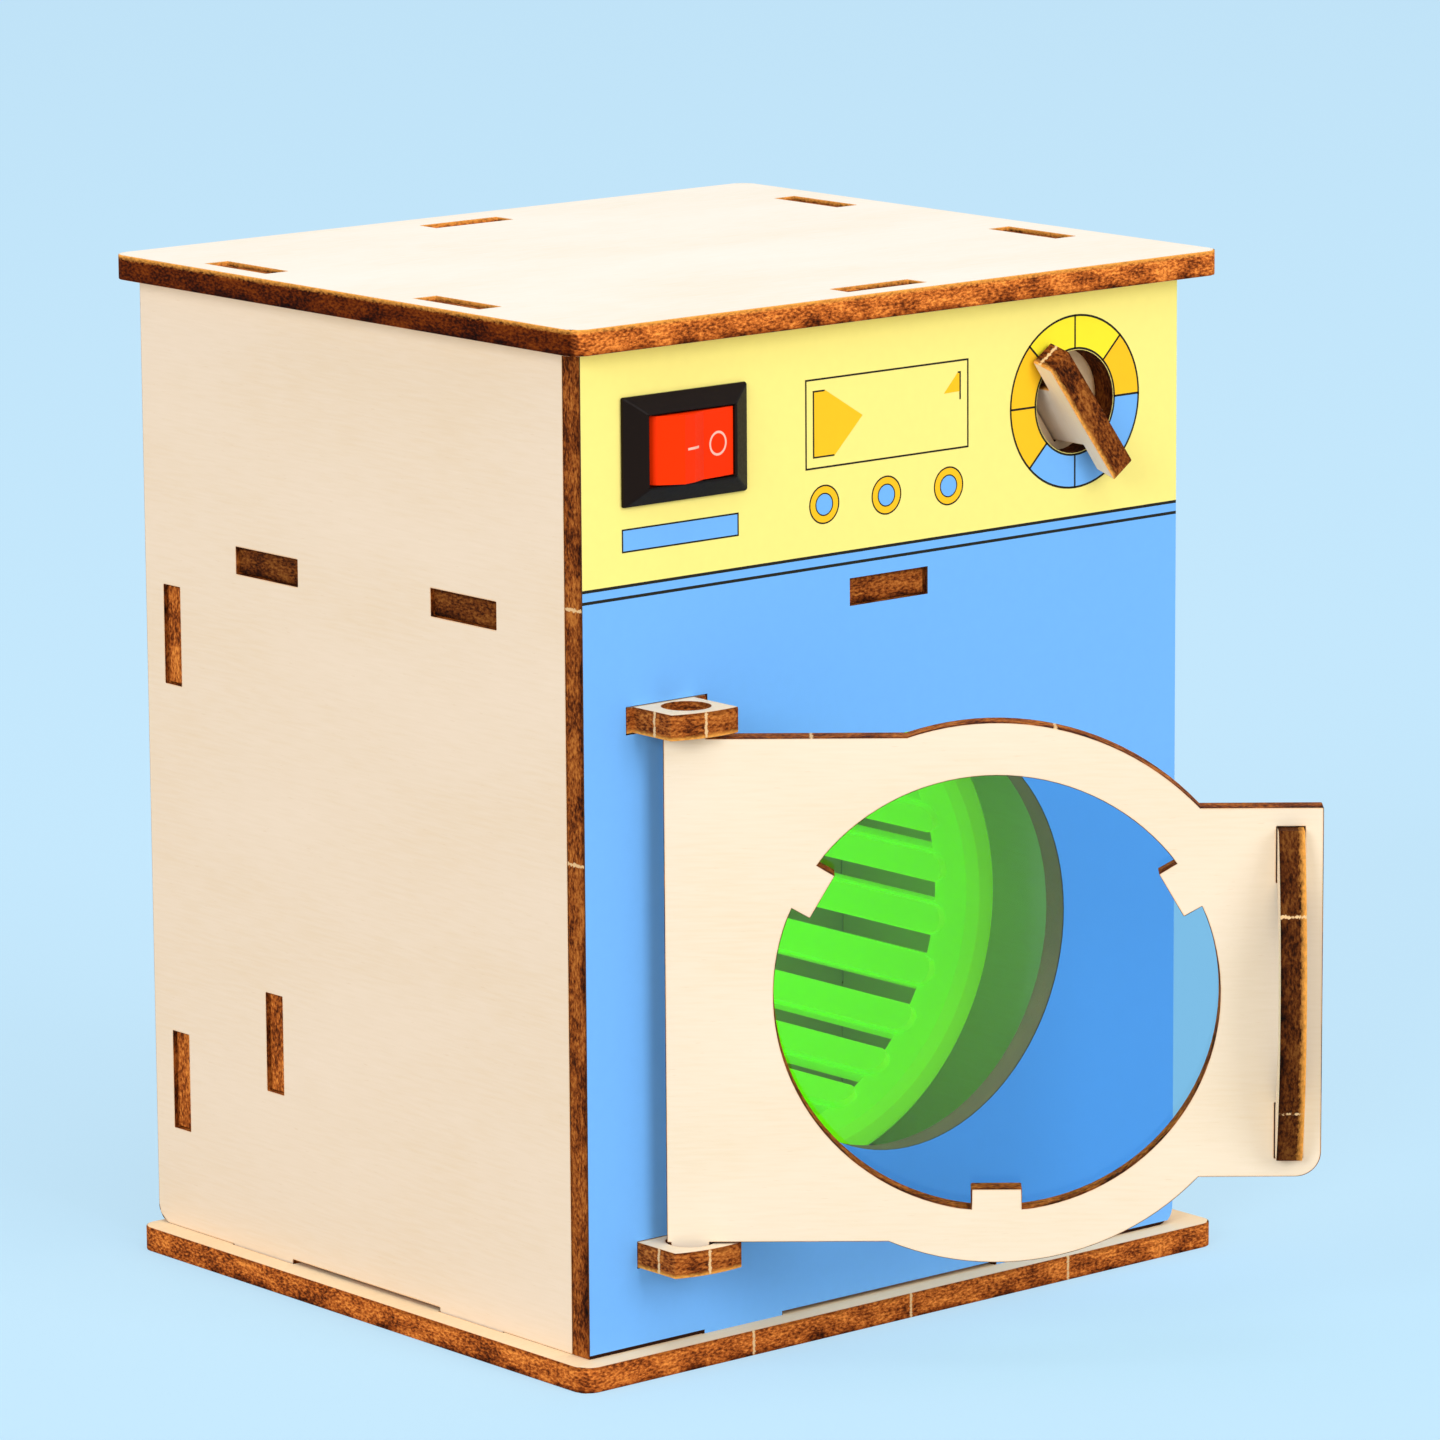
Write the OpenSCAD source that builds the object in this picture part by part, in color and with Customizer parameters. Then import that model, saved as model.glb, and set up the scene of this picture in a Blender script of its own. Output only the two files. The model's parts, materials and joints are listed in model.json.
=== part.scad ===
// Toy washing machine of laser-cut plywood, with a porthole door and a belt-driven plastic drum.
// +Z is up and the front faces -Y. The origin is under the middle of the case, on the base's underside.

/* [Body] */
// Width across the two side panels
body_w = 76; // [72:1:110]
// Depth from the front panel's face to the side panels' rear ends
body_d = 69; // [67:1:100]
// Height of the side panels between the base and the lid
body_h = 96.5; // [92:0.5:130]
// Thickness of every plywood panel
ply_t = 2.5; // [2.2:0.1:3]
// How far the base and the lid stand out at the front and the left
overhang = 2.5; // [1:0.5:6]
// How far the base and the lid stand out at the right
overhang_right = 3.9; // [1:0.1:6]
// How far the lid stands out at the back
lid_back = 1.2; // [0:0.1:4]
// Corner radius of the base and the lid
corner_r = 1.8; // [0.5:0.1:4]
// Thickness of the printed sheet on the front panel
sheet_t = 0.15; // [0.1:0.05:0.4]

/* [Joinery] */
// Length of every tab slot
slot_len = 10; // [8:0.5:12]
// Clearance on each side of a tab in its slot
slot_gap = 0.1; // [0.05:0.05:0.2]
// How far a tab's end stays behind the outer face
tab_recess = 0.4; // [0.1:0.1:0.8]
// Height of the shallow relief between the tabs of a panel's lower edge
edge_relief = 0.4; // [0.2:0.1:0.8]
// Front lid tab of a side panel, from the front face to its middle
lid_tab_front = 19.7; // [14:0.1:24]
// Rear lid tab of a side panel, from the rear end to its middle
lid_tab_rear = 16.1; // [10:0.1:20]
// Front base tab of a side panel, from the front face to its middle
base_tab_front = 18; // [14:0.1:24]
// Rear base tab of a side panel, from the rear end to its middle
base_tab_rear = 17.6; // [12:0.1:22]
// Front shelf tab, from the front face to its middle
shelf_tab_front = 17.8; // [12:0.1:24]
// Rear shelf tab, from the front face to its middle
shelf_tab_rear = 48.8; // [40:0.1:54]
// Base tabs of the front panel, from the body's side to their middle
front_tab_side = 19.1; // [14:0.1:26]
// Upper side tab of the rear panel, from the base to its middle
rear_tab_high = 61; // [45:0.5:62]
// Lower side tab of the rear panel, from the base to its middle
rear_tab_low = 15.3; // [10:0.1:30]
// Side tab of the motor plate, from the base to its middle
plate_tab_z = 22; // [12:0.5:50]

/* [Inner panels] */
// Height of the lower compartment, from the base to the shelf
shelf_z = 68.75; // [66.5:0.25:72]
// Rear panel's inset from the side panels' rear ends
rear_inset = 3.15; // [1:0.05:5]
// Front face of the motor plate, from the front face of the body
plate_y = 47.6; // [47:0.1:49]
// Radius of the wire hole in the shelf
wire_hole_r = 3; // [2.5:0.1:4]

/* [Front openings] */
// Drum opening's middle, from the body's left side
opening_x = 40.3; // [38:0.1:46]
// Drum opening's middle, above the base
opening_z = 34.7; // [30:0.1:36]
// Radius of the drum opening
opening_r = 20.7; // [16:0.1:21]
// Dial's middle, from the body's right side
dial_inset = 13.7; // [12:0.1:20]
// Dial's middle, below the side panels' top
dial_drop = 11.1; // [10:0.1:14]
// Radius of the hole behind the knob
dial_hole_r = 5.1; // [4.9:0.1:6]
// Switch's middle, from the body's left side
switch_x = 12.3; // [12:0.1:20]
// Switch's middle, below the side panels' top
switch_drop = 9.9; // [8:0.1:14]

/* [Door] */
// Hinge axis, from the body's left side
hinge_x = 10.1; // [9:0.1:14]
// Hinge axis, out from the front face
hinge_out = 3; // [2.6:0.1:5]
// How far the door stands open
door_open = 40.6; // [0:0.1:120]
// Height of the door's hinge plate
hinge_plate_h = 48.8; // [40:0.1:50]
// Door panel's edge behind the hinge axis
hinge_edge = 2.2; // [2:0.1:2.4]
// Radius of the peg holes in the brackets
peg_hole_r = 2.3; // [2.1:0.05:2.6]
// Running clearance of the pegs in their holes
peg_gap = 0.07; // [0.03:0.01:0.1]
// Gap between the door panel and the lower hinge bracket
door_gap = 0.15; // [0.1:0.05:0.6]
// Gap between the door panel and the upper hinge bracket
door_play = 0.4; // [0.1:0.05:0.8]
// How much larger the door's window is than the drum opening, in radius
window_margin = 0.35; // [0:0.05:1]
// Width of the ring round the window
ring_w = 5.1; // [3:0.1:6]
// How far the shut door's window hangs towards its hinge
door_shift = 1.1; // [0:0.1:1.5]
// How far the hinge plate's middle sits above the window's middle
door_lift = 0.35; // [0:0.05:1.5]
// Reach of the handle flap, from the hinge axis
flap_reach = 59.8; // [58:0.1:68]
// How far the handle flap stands past each end of the handle
flap_margin = 1.9; // [0.8:0.1:4]
// Corner radius of the handle flap's lower end
flap_r = 2.4; // [1:0.1:5]
// Width of the three small tabs inside the window
ring_tab_w = 4.8; // [3:0.1:7]
// How far those tabs reach into the window
ring_tab_h = 2.1; // [1:0.1:3]
// Thickness of the tinted film
film_t = 0.3; // [0.2:0.1:0.5]
// How far the film laps behind the ring
film_lap = 2; // [1:0.1:2.8]

/* [Door handle] */
// Length of the bowed handle
handle_len = 31.9; // [26:0.1:33]
// Height of the bow above the door
handle_bow = 6; // [5:0.1:8]
// Height of the handle's ends above the door
handle_end = 1.5; // [0.5:0.1:3]
// Clear height under the bow
grip_gap = 3.2; // [2:0.1:4]
// Length of each tab that holds the handle
handle_tab = 5.2; // [4:0.1:7]
// Handle's middle, in from the flap's end
handle_inset = 3.1; // [2:0.1:6]

/* [Knob] */
// Radius of the knob's disc behind the front panel
knob_disc_r = 8; // [6.5:0.1:9]
// Length of the knob's grip plate
knob_len = 15; // [13:0.1:17]
// Thickness of the grip plate
grip_t = 2.9; // [2.4:0.1:3]
// Reach of the grip plate in front of the printed sheet
knob_out = 2.95; // [2.5:0.05:5]
// Width of the grip plate's tongue through the panel
knob_tongue = 7; // [5:0.1:7.2]
// Turn of the grip plate from upright
knob_angle = 35; // [0:1:180]
// How far the knob's axis sits to the left of the dial's middle
knob_left = 0.7; // [0:0.1:0.8]
// How far the knob's axis sits below the dial's middle
knob_down = 0.5; // [0:0.1:0.8]
// Free play between moving plates and the front panel
play = 0.35; // [0.3:0.05:0.5]

/* [Switch] */
// Width of the switch bezel
bezel_w = 15.2; // [15:0.1:16]
// Height of the switch bezel
bezel_h = 10.4; // [10:0.1:11]
// How far the bezel stands proud
bezel_out = 1.5; // [1:0.1:2.5]
// Width of the switch body behind the bezel
switch_w = 13.4; // [13.2:0.1:14]
// Height of the switch body
switch_h = 8.6; // [8.4:0.1:9]
// Depth of the switch body behind the front face
switch_depth = 11; // [10:0.5:14]
// Rocker's reach from its pivot to its raised end
rocker_r = 5.1; // [4.8:0.1:5.6]
// Height of the rocker
rocker_h = 6.5; // [6:0.1:6.8]
// Angle that the rocker travels
rocker_travel = 20; // [12:1:22]
// Pivot's depth behind the printed sheet
pivot_depth = 1.2; // [1:0.1:2]
// Pivot pin radius
pivot_r = 0.9; // [0.7:0.05:1]
// Running clearance of the pivot pins
pivot_gap = 0.05; // [0.03:0.01:0.1]

/* [Drum] */
// Radius of the drum's rim
drum_rim_r = 25; // [23:0.1:26]
// Inner radius of the drum's wall
drum_in_r = 22.4; // [20:0.1:22.6]
// Thickness of the drum's wall
drum_wall = 1.3; // [1:0.1:2]
// Drum's rim behind the front face of the body
drum_front = 12; // [8:0.5:14]
// Length of the drum
drum_len = 32.5; // [28:0.5:32.5]
// Thickness of the rim flange
rim_t = 1.6; // [1:0.1:3]
// Number of slots in the wall
slot_count = 26; // [16:1:28]
// Width of each drum slot
drum_slot_w = 1.9; // [1:0.1:2.4]
// Turn of the slots at rest
drum_turn = 2; // [0:0.5:13]
// Smooth band between the rim and the slots
slot_start = 6.3; // [4:0.1:10]
// Height of the ribs inside the wall
rib_h = 0.8; // [0.4:0.1:1.2]
// Width of each rib
rib_w = 2.9; // [2:0.1:3]
// How far the ribs' round ends run past the slots
rib_lead = 1.8; // [1:0.1:3]
// Thickness of the drum's floor
drum_floor_t = 1.5; // [1.2:0.1:2.5]

/* [Drive] */
// Radius of the drum's axle
axle_r = 1.5; // [1:0.1:2]
// Running clearance of the axle and motor shaft in their bearings
run_gap = 0.05; // [0.02:0.01:0.09]
// Clearance of pressed and seated round pieces
seat_gap = 0.02; // [0.01:0.01:0.04]
// Outer radius of the axle bushes
bush_r = 3; // [2.6:0.1:4]
// Flange radius of the axle bushes
bush_flange_r = 4.5; // [4.2:0.1:6]
// Flange thickness of the axle bushes
bush_flange_t = 0.8; // [0.5:0.1:1]
// Flange radius of the drum's hub
hub_r = 9; // [8:0.1:12]
// Flange thickness of the drum's hub
hub_t = 1.5; // [1.2:0.1:1.6]
// Boss radius of the drum's hub
hub_boss_r = 4; // [3:0.1:5]
// Boss length of the drum's hub inside the drum
hub_boss_len = 4.5; // [3:0.5:8]
// Belt line's radius on the drum pulley
drum_pitch_r = 16.5; // [12:0.5:20]
// Belt line's radius on the motor pulley
motor_pitch_r = 3.75; // [3.25:0.05:5]
// Width of both pulleys
pulley_w = 4; // [3.5:0.1:5]
// Pulleys' front faces behind the motor plate
pulley_gap = 1.5; // [1.4:0.1:2.5]
// Radius of the round belt
belt_r = 0.75; // [0.5:0.05:0.9]
// Clearance of the belt in the pulley grooves
belt_gap = 0.15; // [0.1:0.05:0.3]

/* [Motor] */
// Diameter of the motor can
motor_d = 20; // [18:0.1:21]
// Size of the motor can across its flats
motor_flat = 15.1; // [14.6:0.1:16]
// Length of the motor with its end cap
motor_len = 25; // [22:0.5:28]
// Length of the plastic end cap
end_cap_len = 4.5; // [4:0.1:6]
// Thickness of the can's steel
can_t = 0.8; // [0.5:0.1:1]
// Radius of the motor's front boss
boss_r = 3.05; // [2.5:0.05:3.4]
// Length of the motor's front boss
boss_len = 1.7; // [1:0.1:2]
// Radius of the motor shaft
shaft_r = 1; // [0.8:0.05:1.2]
// Reach of the shaft from the motor's front face
shaft_out = 9; // [8:0.5:10]
// Radius of the armature
armature_r = 5.9; // [5:0.1:6]
// Clearance between the drum's rim and the motor
motor_gap = 1.2; // [0.5:0.1:1.4]
// Distance of each motor screw from the shaft
motor_screw_at = 6; // [5.5:0.1:7]

/* [Screws] */
// Shank radius of the small screws
screw_r = 0.95; // [0.7:0.05:1.1]
// Head radius of the small screws
screw_head_r = 1.7; // [1.5:0.1:1.9]
// Head height of the small screws
screw_head_h = 1.2; // [0.8:0.1:1.3]
// Distance of the drum screws from the axle
drum_screw_at = 6.4; // [6:0.1:7]

/* [Batteries] */
// Diameter of each battery
cell_d = 14.2; // [13.5:0.1:14.5]
// Length of each battery without its nub
cell_len = 49.5; // [48:0.1:50.5]
// Radius of the battery nub
nub_r = 2.7; // [2:0.1:3.5]
// Length of the battery nub
nub_len = 1; // [0.8:0.1:1.5]
// Clearance round each battery
cell_gap = 0.15; // [0.1:0.05:0.3]
// Wall of the battery box
box_wall = 1.3; // [1:0.1:2]
// Height of the battery box
box_h = 13.5; // [11:0.1:16]
// Thickness of the contact plates
contact_t = 0.4; // [0.3:0.1:0.6]
// Length of a pressed contact spring
spring_len = 4; // [3:0.1:6]
// Thickness of the foam tape under the box
tape_t = 1; // [0.5:0.1:1.5]
// Front of the battery box behind the front face of the body
box_y = 29; // [26:0.5:30]
// Radius of the wires
wire_r = 0.6; // [0.4:0.05:0.75]

/* [Hidden] */
$fn = 64;

// Overshoot of a cut past the face that it opens
cut = 1;

// Planes of the body
left_x = -body_w / 2;
right_x = body_w / 2;
front_y = overhang - (body_d + overhang) / 2;
rear_y = front_y + body_d;
floor_z = ply_t;
top_z = floor_z + body_h;
in_left = left_x + ply_t;
in_right = right_x - ply_t;
in_front = front_y + ply_t;
face_y = front_y - sheet_t;
rear_panel_y = rear_y - rear_inset - ply_t;
motor_plate_y = front_y + plate_y;
plate_back_y = motor_plate_y + ply_t;
shelf_under = floor_z + shelf_z;
shelf_top = shelf_under + ply_t;
tab_out = ply_t - tab_recess;

// Middles of the tabs and their slots
side_tab_xs = [left_x + ply_t / 2, right_x - ply_t / 2];
lid_tab_ys = [front_y + lid_tab_front, rear_y - lid_tab_rear];
base_tab_ys = [front_y + base_tab_front, rear_y - base_tab_rear];
shelf_tab_ys = [front_y + shelf_tab_front, front_y + shelf_tab_rear];
front_tab_xs = [left_x + front_tab_side, right_x - front_tab_side];
rear_tab_zs = [floor_z + rear_tab_low, floor_z + rear_tab_high];
plate_tab_mid = floor_z + plate_tab_z;

// Places on the front
opening = [left_x + opening_x, floor_z + opening_z];
dial = [right_x - dial_inset, top_z - dial_drop];
switch_at = [left_x + switch_x, top_z - switch_drop];
front_slot = [0, shelf_under + ply_t / 2];

// Door
hinge = [left_x + hinge_x, front_y - hinge_out];
window_r = opening_r + window_margin;
ring_r = window_r + ring_w;
ring = [opening_x - hinge_x - door_shift, opening[1]];
door_top = ring[1] + door_lift + hinge_plate_h / 2;
door_bottom = door_top - hinge_plate_h;
upper_bracket_z = door_top + door_play;
lower_bracket_z = door_bottom - door_gap - ply_t;
peg_w = 2 * sqrt(pow(peg_hole_r - peg_gap, 2) - pow(ply_t / 2, 2));
peg_end = 0.8;
handle_u = flap_reach - handle_inset;
flap_h = handle_len + 2 * flap_margin;
bracket_left = 4.1;
bracket_right = 3.4;
bracket_nose = 3.75;
bracket_bow_r = 13.5;
bracket_bow_shift = 1.1;
upper_tab_left = slot_len / 2 - slot_gap;
lower_tab_left = bracket_left;

// Knob
knob_at = dial - [knob_left, knob_down];
grip_drop = 0.3;
high_lift = 0.45;
high_chamfer = [0.45, 0.9];
low_lift = 1.1;
low_chamfer = 1.1;

// Drum and drive
drum_z = floor_z + shelf_z / 2;
drum_y = front_y + drum_front;
drum_back = drum_y + drum_len;
drum_out_r = drum_in_r + drum_wall;
slot_pitch = 360 / slot_count;
slot_end_gap = 1;
rim_round = 0.5;
lip_w = 0.6;
lip_drop = 0.3;
drum_chamfer = 1;
hub_chamfer = 0.5;
drum_screw_angles = [90, 210, 330];
bush_sleeve = 0.6;
axle_start = drum_back - drum_floor_t - hub_boss_len;
axle_end = rear_panel_y + ply_t - tab_recess;
belt_y = plate_back_y + pulley_gap + pulley_w / 2;
groove_w = 2 * (belt_r + belt_gap);
groove_flare = 0.3;
rim_over_belt = 0.9;
motor_distance = drum_rim_r + motor_gap + motor_flat / 2;
motor_turn = 45;
motor_x = motor_distance * cos(motor_turn);
motor_z = drum_z + motor_distance * sin(motor_turn);
end_cap_y = motor_plate_y - motor_len;
cap_spigot = 1;
cap_bearing = 2;
armature_len = 11;
armature_back = 4;
pole_slot_depth = 2.5;
pole_slot_w = 1;
magnet_t = 2.1;
magnet_side_gap = 1;
screw_cross_w = 0.5;
terminal_out = 3;
terminal_w = 2;
terminal_t = 0.5;
motor_terminal_at = 5;

// Switch
rocker_gap = 0.1;
well_len = 2 * (rocker_r + rocker_gap);
well_h = rocker_h + 2 * rocker_gap;
well_depth = 3;
bezel_edge = 0.4;
bezel_land = 0.25;
terminal_root = 2;
rocker_floor = 1.5;
pivot_y = face_y + pivot_depth;
switch_back = front_y + switch_depth;
switch_terminal_at = 3.3;
switch_terminal_len = 5;
switch_terminal_w = 3;

// Batteries
box_z = shelf_top + tape_t;
bay_w = cell_d + 2 * cell_gap;
bay_len = 2 * contact_t + nub_len + cell_len + spring_len;
box_len = bay_len + 2 * box_wall;
box_w = 2 * bay_w - cell_gap + 2 * box_wall;
box_left = -box_len / 2;
box_front = front_y + box_y;
cell_z = box_z + box_wall + cell_d / 2;
front_cell_y = box_front + box_wall + cell_gap + cell_d / 2;
rear_cell_y = front_cell_y + cell_d + cell_gap;
contact_size = 8;
spring_r = contact_size / 2;
spring_tip_r = 2.4;
spring_wire_r = 0.3;
spring_turns = 3;
lead_hole = wire_r + 0.2;
wire_hole = [24, front_y + 13];
tape_inset = 2;

// A flat sheet of plywood, lying, standing across the body and standing along it
module sheet_z(z) { translate([0, 0, z]) linear_extrude(ply_t) children(); }
module sheet_y(y, t = ply_t) {
    translate([0, y + t, 0]) rotate([90, 0, 0]) linear_extrude(t) children();
}
module sheet_x(x) { translate([x, 0, 0]) rotate([90, 0, 90]) linear_extrude(ply_t) children(); }

// A slot for a tab, and the tab itself, along the drawing's first or second axis
module slot_along(p) { translate(p) square([slot_len, ply_t + 2 * slot_gap], center = true); }
module slot_up(p) { translate(p) square([ply_t + 2 * slot_gap, slot_len], center = true); }
module tab(p, reach) { translate(p) square([slot_len - 2 * slot_gap, 2 * reach], center = true); }
module side_tab(p, reach) { translate(p) square([2 * reach, slot_len - 2 * slot_gap], center = true); }

// A tab that a standing panel puts down into the base, and the relief between two of them
module foot_tab(x) {
    translate([x - slot_len / 2 + slot_gap, floor_z - tab_out])
        square([slot_len - 2 * slot_gap, tab_out + 2 * edge_relief]);
}
module edge_gap(tabs) {
    translate([tabs[0], floor_z - cut]) square([tabs[1] - tabs[0], edge_relief + cut]);
}

// A rectangle with four round corners, from its low corner
module round_rect(low, size, r) {
    translate(low + [r, 0]) square([size[0] - 2 * r, size[1]]);
    translate(low + [0, r]) square([size[0], size[1] - 2 * r]);
    for (i = [0, 1], j = [0, 1])
        translate(low + [i ? size[0] - r : r, j ? size[1] - r : r]) circle(r);
}

// What is cut off to round one corner; dir points out of the corner
module corner_cut(p, dir, r) {
    difference() {
        translate(p - [dir[0] > 0 ? r : 0, dir[1] > 0 ? r : 0]) square(r);
        translate(p - r * dir) circle(r);
    }
}

// A cylinder along +Y from the point p
module along_y(p, r, len) { translate(p) rotate([-90, 0, 0]) cylinder(r = r, h = len); }

// Turns a drawing of radius and length into a solid of revolution about Y, from the point p
module spun_y(p) { translate(p) rotate([-90, 0, 0]) rotate_extrude() children(); }

// Moves its children to the motor's axis, with the can's flats facing the drum
module at_motor(y) { translate([motor_x, y, motor_z]) rotate([0, -motor_turn, 0]) children(); }

// A round-section tube along a path, closed on itself or with flat ends
function unit(v) = v / norm(v);
function ahead(p, i, closed) =
    let (n = len(p))
    closed ? unit(p[(i + 1) % n] - p[(i + n - 1) % n]) : unit(p[min(i + 1, n - 1)] - p[max(i - 1, 0)]);
function first_side(t) = unit(cross(t, abs(t[2]) < 0.9 ? [0, 0, 1] : [1, 0, 0]));
function sides_of(p, closed, i = 0, last = undef) =
    let (t = ahead(p, i, closed), s = last == undef ? first_side(t) : unit(last - t * (last * t)))
    i == len(p) - 1 ? [s] : concat([s], sides_of(p, closed, i + 1, s));
function blend_point(a, b, c, d, t) =
    0.5 * (2 * b + (c - a) * t + (2 * a - 5 * b + 4 * c - d) * t * t
        + (3 * b - a - 3 * c + d) * t * t * t);
function smooth(p, steps) =
    let (n = len(p))
    concat([for (i = [0:n - 2], k = [0:steps - 1])
        blend_point(p[max(i - 1, 0)], p[i], p[i + 1], p[min(i + 2, n - 1)], k / steps)], [p[n - 1]]);
// A wire's route with its two end stretches kept straight
function straight_ends(p) =
    let (n = len(p))
    concat([p[0], (p[0] + p[1]) / 2], [for (i = [1:n - 2]) p[i]], [(p[n - 2] + p[n - 1]) / 2, p[n - 1]]);
module wire(route) { tube(smooth(straight_ends(route), 4), wire_r); }
module tube(path, r, closed = false, edges = 8) {
    n = len(path);
    s = sides_of(path, closed);
    points = [for (i = [0:n - 1], k = [0:edges - 1])
        let (t = ahead(path, i, closed), a = 360 * k / edges)
        path[i] + r * (s[i] * cos(a) + cross(t, s[i]) * sin(a))];
    rings = closed ? n : n - 1;
    walls = [for (i = [0:rings - 1], k = [0:edges - 1])
        let (j = (i + 1) % n, m = (k + 1) % edges)
        [i * edges + k, j * edges + k, j * edges + m, i * edges + m]];
    ends = closed ? [] : [
        [for (k = [0:edges - 1]) k],
        [for (k = [edges - 1:-1:0]) (n - 1) * edges + k]
    ];
    polyhedron(points, concat(walls, ends), convexity = 6);
}

// ---- Plywood case ----

// Outline of the base and the lid; back is how far it stands out behind the body
module plate_outline(back) {
    round_rect([left_x - overhang, front_y - overhang],
        [overhang + body_w + overhang_right, overhang + body_d + back], corner_r);
}

module base_panel() {
    color("burlywood") sheet_z(0) difference() {
        plate_outline(0);
        for (x = side_tab_xs, y = base_tab_ys)
            slot_up([x, y]);
        for (x = front_tab_xs)
            slot_along([x, front_y + ply_t / 2]);
        slot_along([0, rear_panel_y + ply_t / 2]);
        slot_along([0, motor_plate_y + ply_t / 2]);
    }
}

module lid_panel() {
    color("wheat") sheet_z(top_z) difference() {
        plate_outline(lid_back);
        for (x = side_tab_xs, y = lid_tab_ys)
            slot_up([x, y]);
        slot_along([0, front_y + ply_t / 2]);
        slot_along([0, rear_panel_y + ply_t / 2]);
    }
}

// Outline of a side panel, drawn with depth across and height up
module side_outline() {
    difference() {
        union() {
            translate([in_front, floor_z]) square([rear_y - in_front, body_h]);
            for (y = lid_tab_ys)
                tab([y, top_z], tab_out);
        }
        edge_gap(base_tab_ys);
        for (y = shelf_tab_ys)
            slot_along([y, shelf_under + ply_t / 2]);
        for (z = rear_tab_zs)
            slot_up([rear_panel_y + ply_t / 2, z]);
        slot_up([motor_plate_y + ply_t / 2, plate_tab_mid]);
        corner_cut([rear_y, floor_z], [1, -1], corner_r);
    }
    for (y = base_tab_ys)
        foot_tab(y);
}

module left_side_panel() { color("wheat") sheet_x(left_x) side_outline(); }
module right_side_panel() { color("wheat") sheet_x(in_right) side_outline(); }

// Everything that is cut through the front panel and its printed sheet
module front_cuts() {
    translate(opening) circle(opening_r, $fn = 128);
    translate(dial) circle(dial_hole_r);
    translate(switch_at) square([switch_w + 2 * slot_gap, switch_h + 2 * slot_gap], center = true);
    slot_along(front_slot);
    for (tab = [[upper_bracket_z, upper_tab_left], [lower_bracket_z, lower_tab_left]])
        translate([hinge[0] - tab[1] - slot_gap, tab[0] - slot_gap])
            square([tab[1] + slot_gap + slot_len / 2, ply_t + 2 * slot_gap]);
    corner_cut([right_x, floor_z], [1, -1], corner_r);
}

module front_panel() {
    color("peru") sheet_y(front_y) {
        difference() {
            union() {
                translate([left_x, floor_z]) square([body_w, body_h]);
                tab([0, top_z], tab_out);
            }
            edge_gap(front_tab_xs);
            front_cuts();
        }
        for (x = front_tab_xs)
            foot_tab(x);
    }
}

module front_sheet() {
    color("cornflowerblue") sheet_y(face_y, sheet_t) difference() {
        union() {
            translate([left_x, floor_z + edge_relief]) square([body_w, body_h - edge_relief]);
            for (x = front_tab_xs)
                translate([x - slot_len / 2 + slot_gap, floor_z])
                    square([slot_len - 2 * slot_gap, 2 * edge_relief]);
        }
        front_cuts();
    }
}

module rear_panel() {
    color("wheat") sheet_y(rear_panel_y) difference() {
        union() {
            translate([in_left, floor_z]) square([in_right - in_left, body_h]);
            tab([0, top_z], tab_out);
            tab([0, floor_z], tab_out);
            for (x = [in_left, in_right], z = rear_tab_zs)
                side_tab([x, z], tab_out);
        }
        slot_along(front_slot);
        translate([0, drum_z]) circle(bush_r + seat_gap);
    }
}

module shelf_panel() {
    color("wheat") sheet_z(shelf_under) difference() {
        union() {
            translate([in_left, in_front]) square([in_right - in_left, rear_panel_y - in_front]);
            for (y = [in_front, rear_panel_y])
                tab([0, y], tab_out);
            for (x = [in_left, in_right], y = shelf_tab_ys)
                side_tab([x, y], tab_out);
        }
        translate(wire_hole) circle(wire_hole_r);
    }
}

module motor_plate() {
    color("wheat") sheet_y(motor_plate_y) difference() {
        union() {
            translate([in_left, floor_z]) square([in_right - in_left, shelf_z]);
            tab([0, floor_z], tab_out);
            for (x = [in_left, in_right])
                side_tab([x, plate_tab_mid], tab_out);
        }
        translate([0, drum_z]) circle(bush_r + seat_gap);
        translate([motor_x, motor_z]) rotate(motor_turn) {
            circle(boss_r + seat_gap);
            for (s = [-1, 1])
                translate([0, s * motor_screw_at]) circle(screw_r + run_gap);
        }
    }
}

// A hinge bracket: a tab in the front panel, which reaches left of the hinge axis by tab_left, and
// a nose with the peg hole and a bowed front
module hinge_bracket(z, tab_left) {
    nose_y = hinge[1] - bracket_nose;
    sheet_z(z) difference() {
        union() {
            translate([hinge[0] - tab_left, front_y - sheet_t])
                square([tab_left + slot_len / 2 - slot_gap, tab_out + sheet_t + tab_recess]);
            intersection() {
                translate([hinge[0] - bracket_left, nose_y])
                    square([bracket_left + bracket_right, front_y - nose_y]);
                translate([hinge[0] + bracket_bow_shift, nose_y + bracket_bow_r])
                    circle(bracket_bow_r, $fn = 128);
            }
        }
        translate(hinge) circle(peg_hole_r);
    }
}

module upper_hinge_bracket() { color("sienna") hinge_bracket(upper_bracket_z, upper_tab_left); }
module lower_hinge_bracket() { color("sienna") hinge_bracket(lower_bracket_z, lower_tab_left); }

// ---- Door, drawn shut with the hinge axis as its origin ----

module at_door() { translate([hinge[0], hinge[1], 0]) rotate([0, 0, -door_open]) children(); }

// The window's clear circle less its three small tabs
module window_outline() {
    difference() {
        circle(window_r, $fn = 128);
        for (a = [30, 150, 270])
            rotate(a) translate([window_r - ring_tab_h, -ring_tab_w / 2])
                square([ring_tab_h + cut, ring_tab_w]);
    }
}

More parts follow.
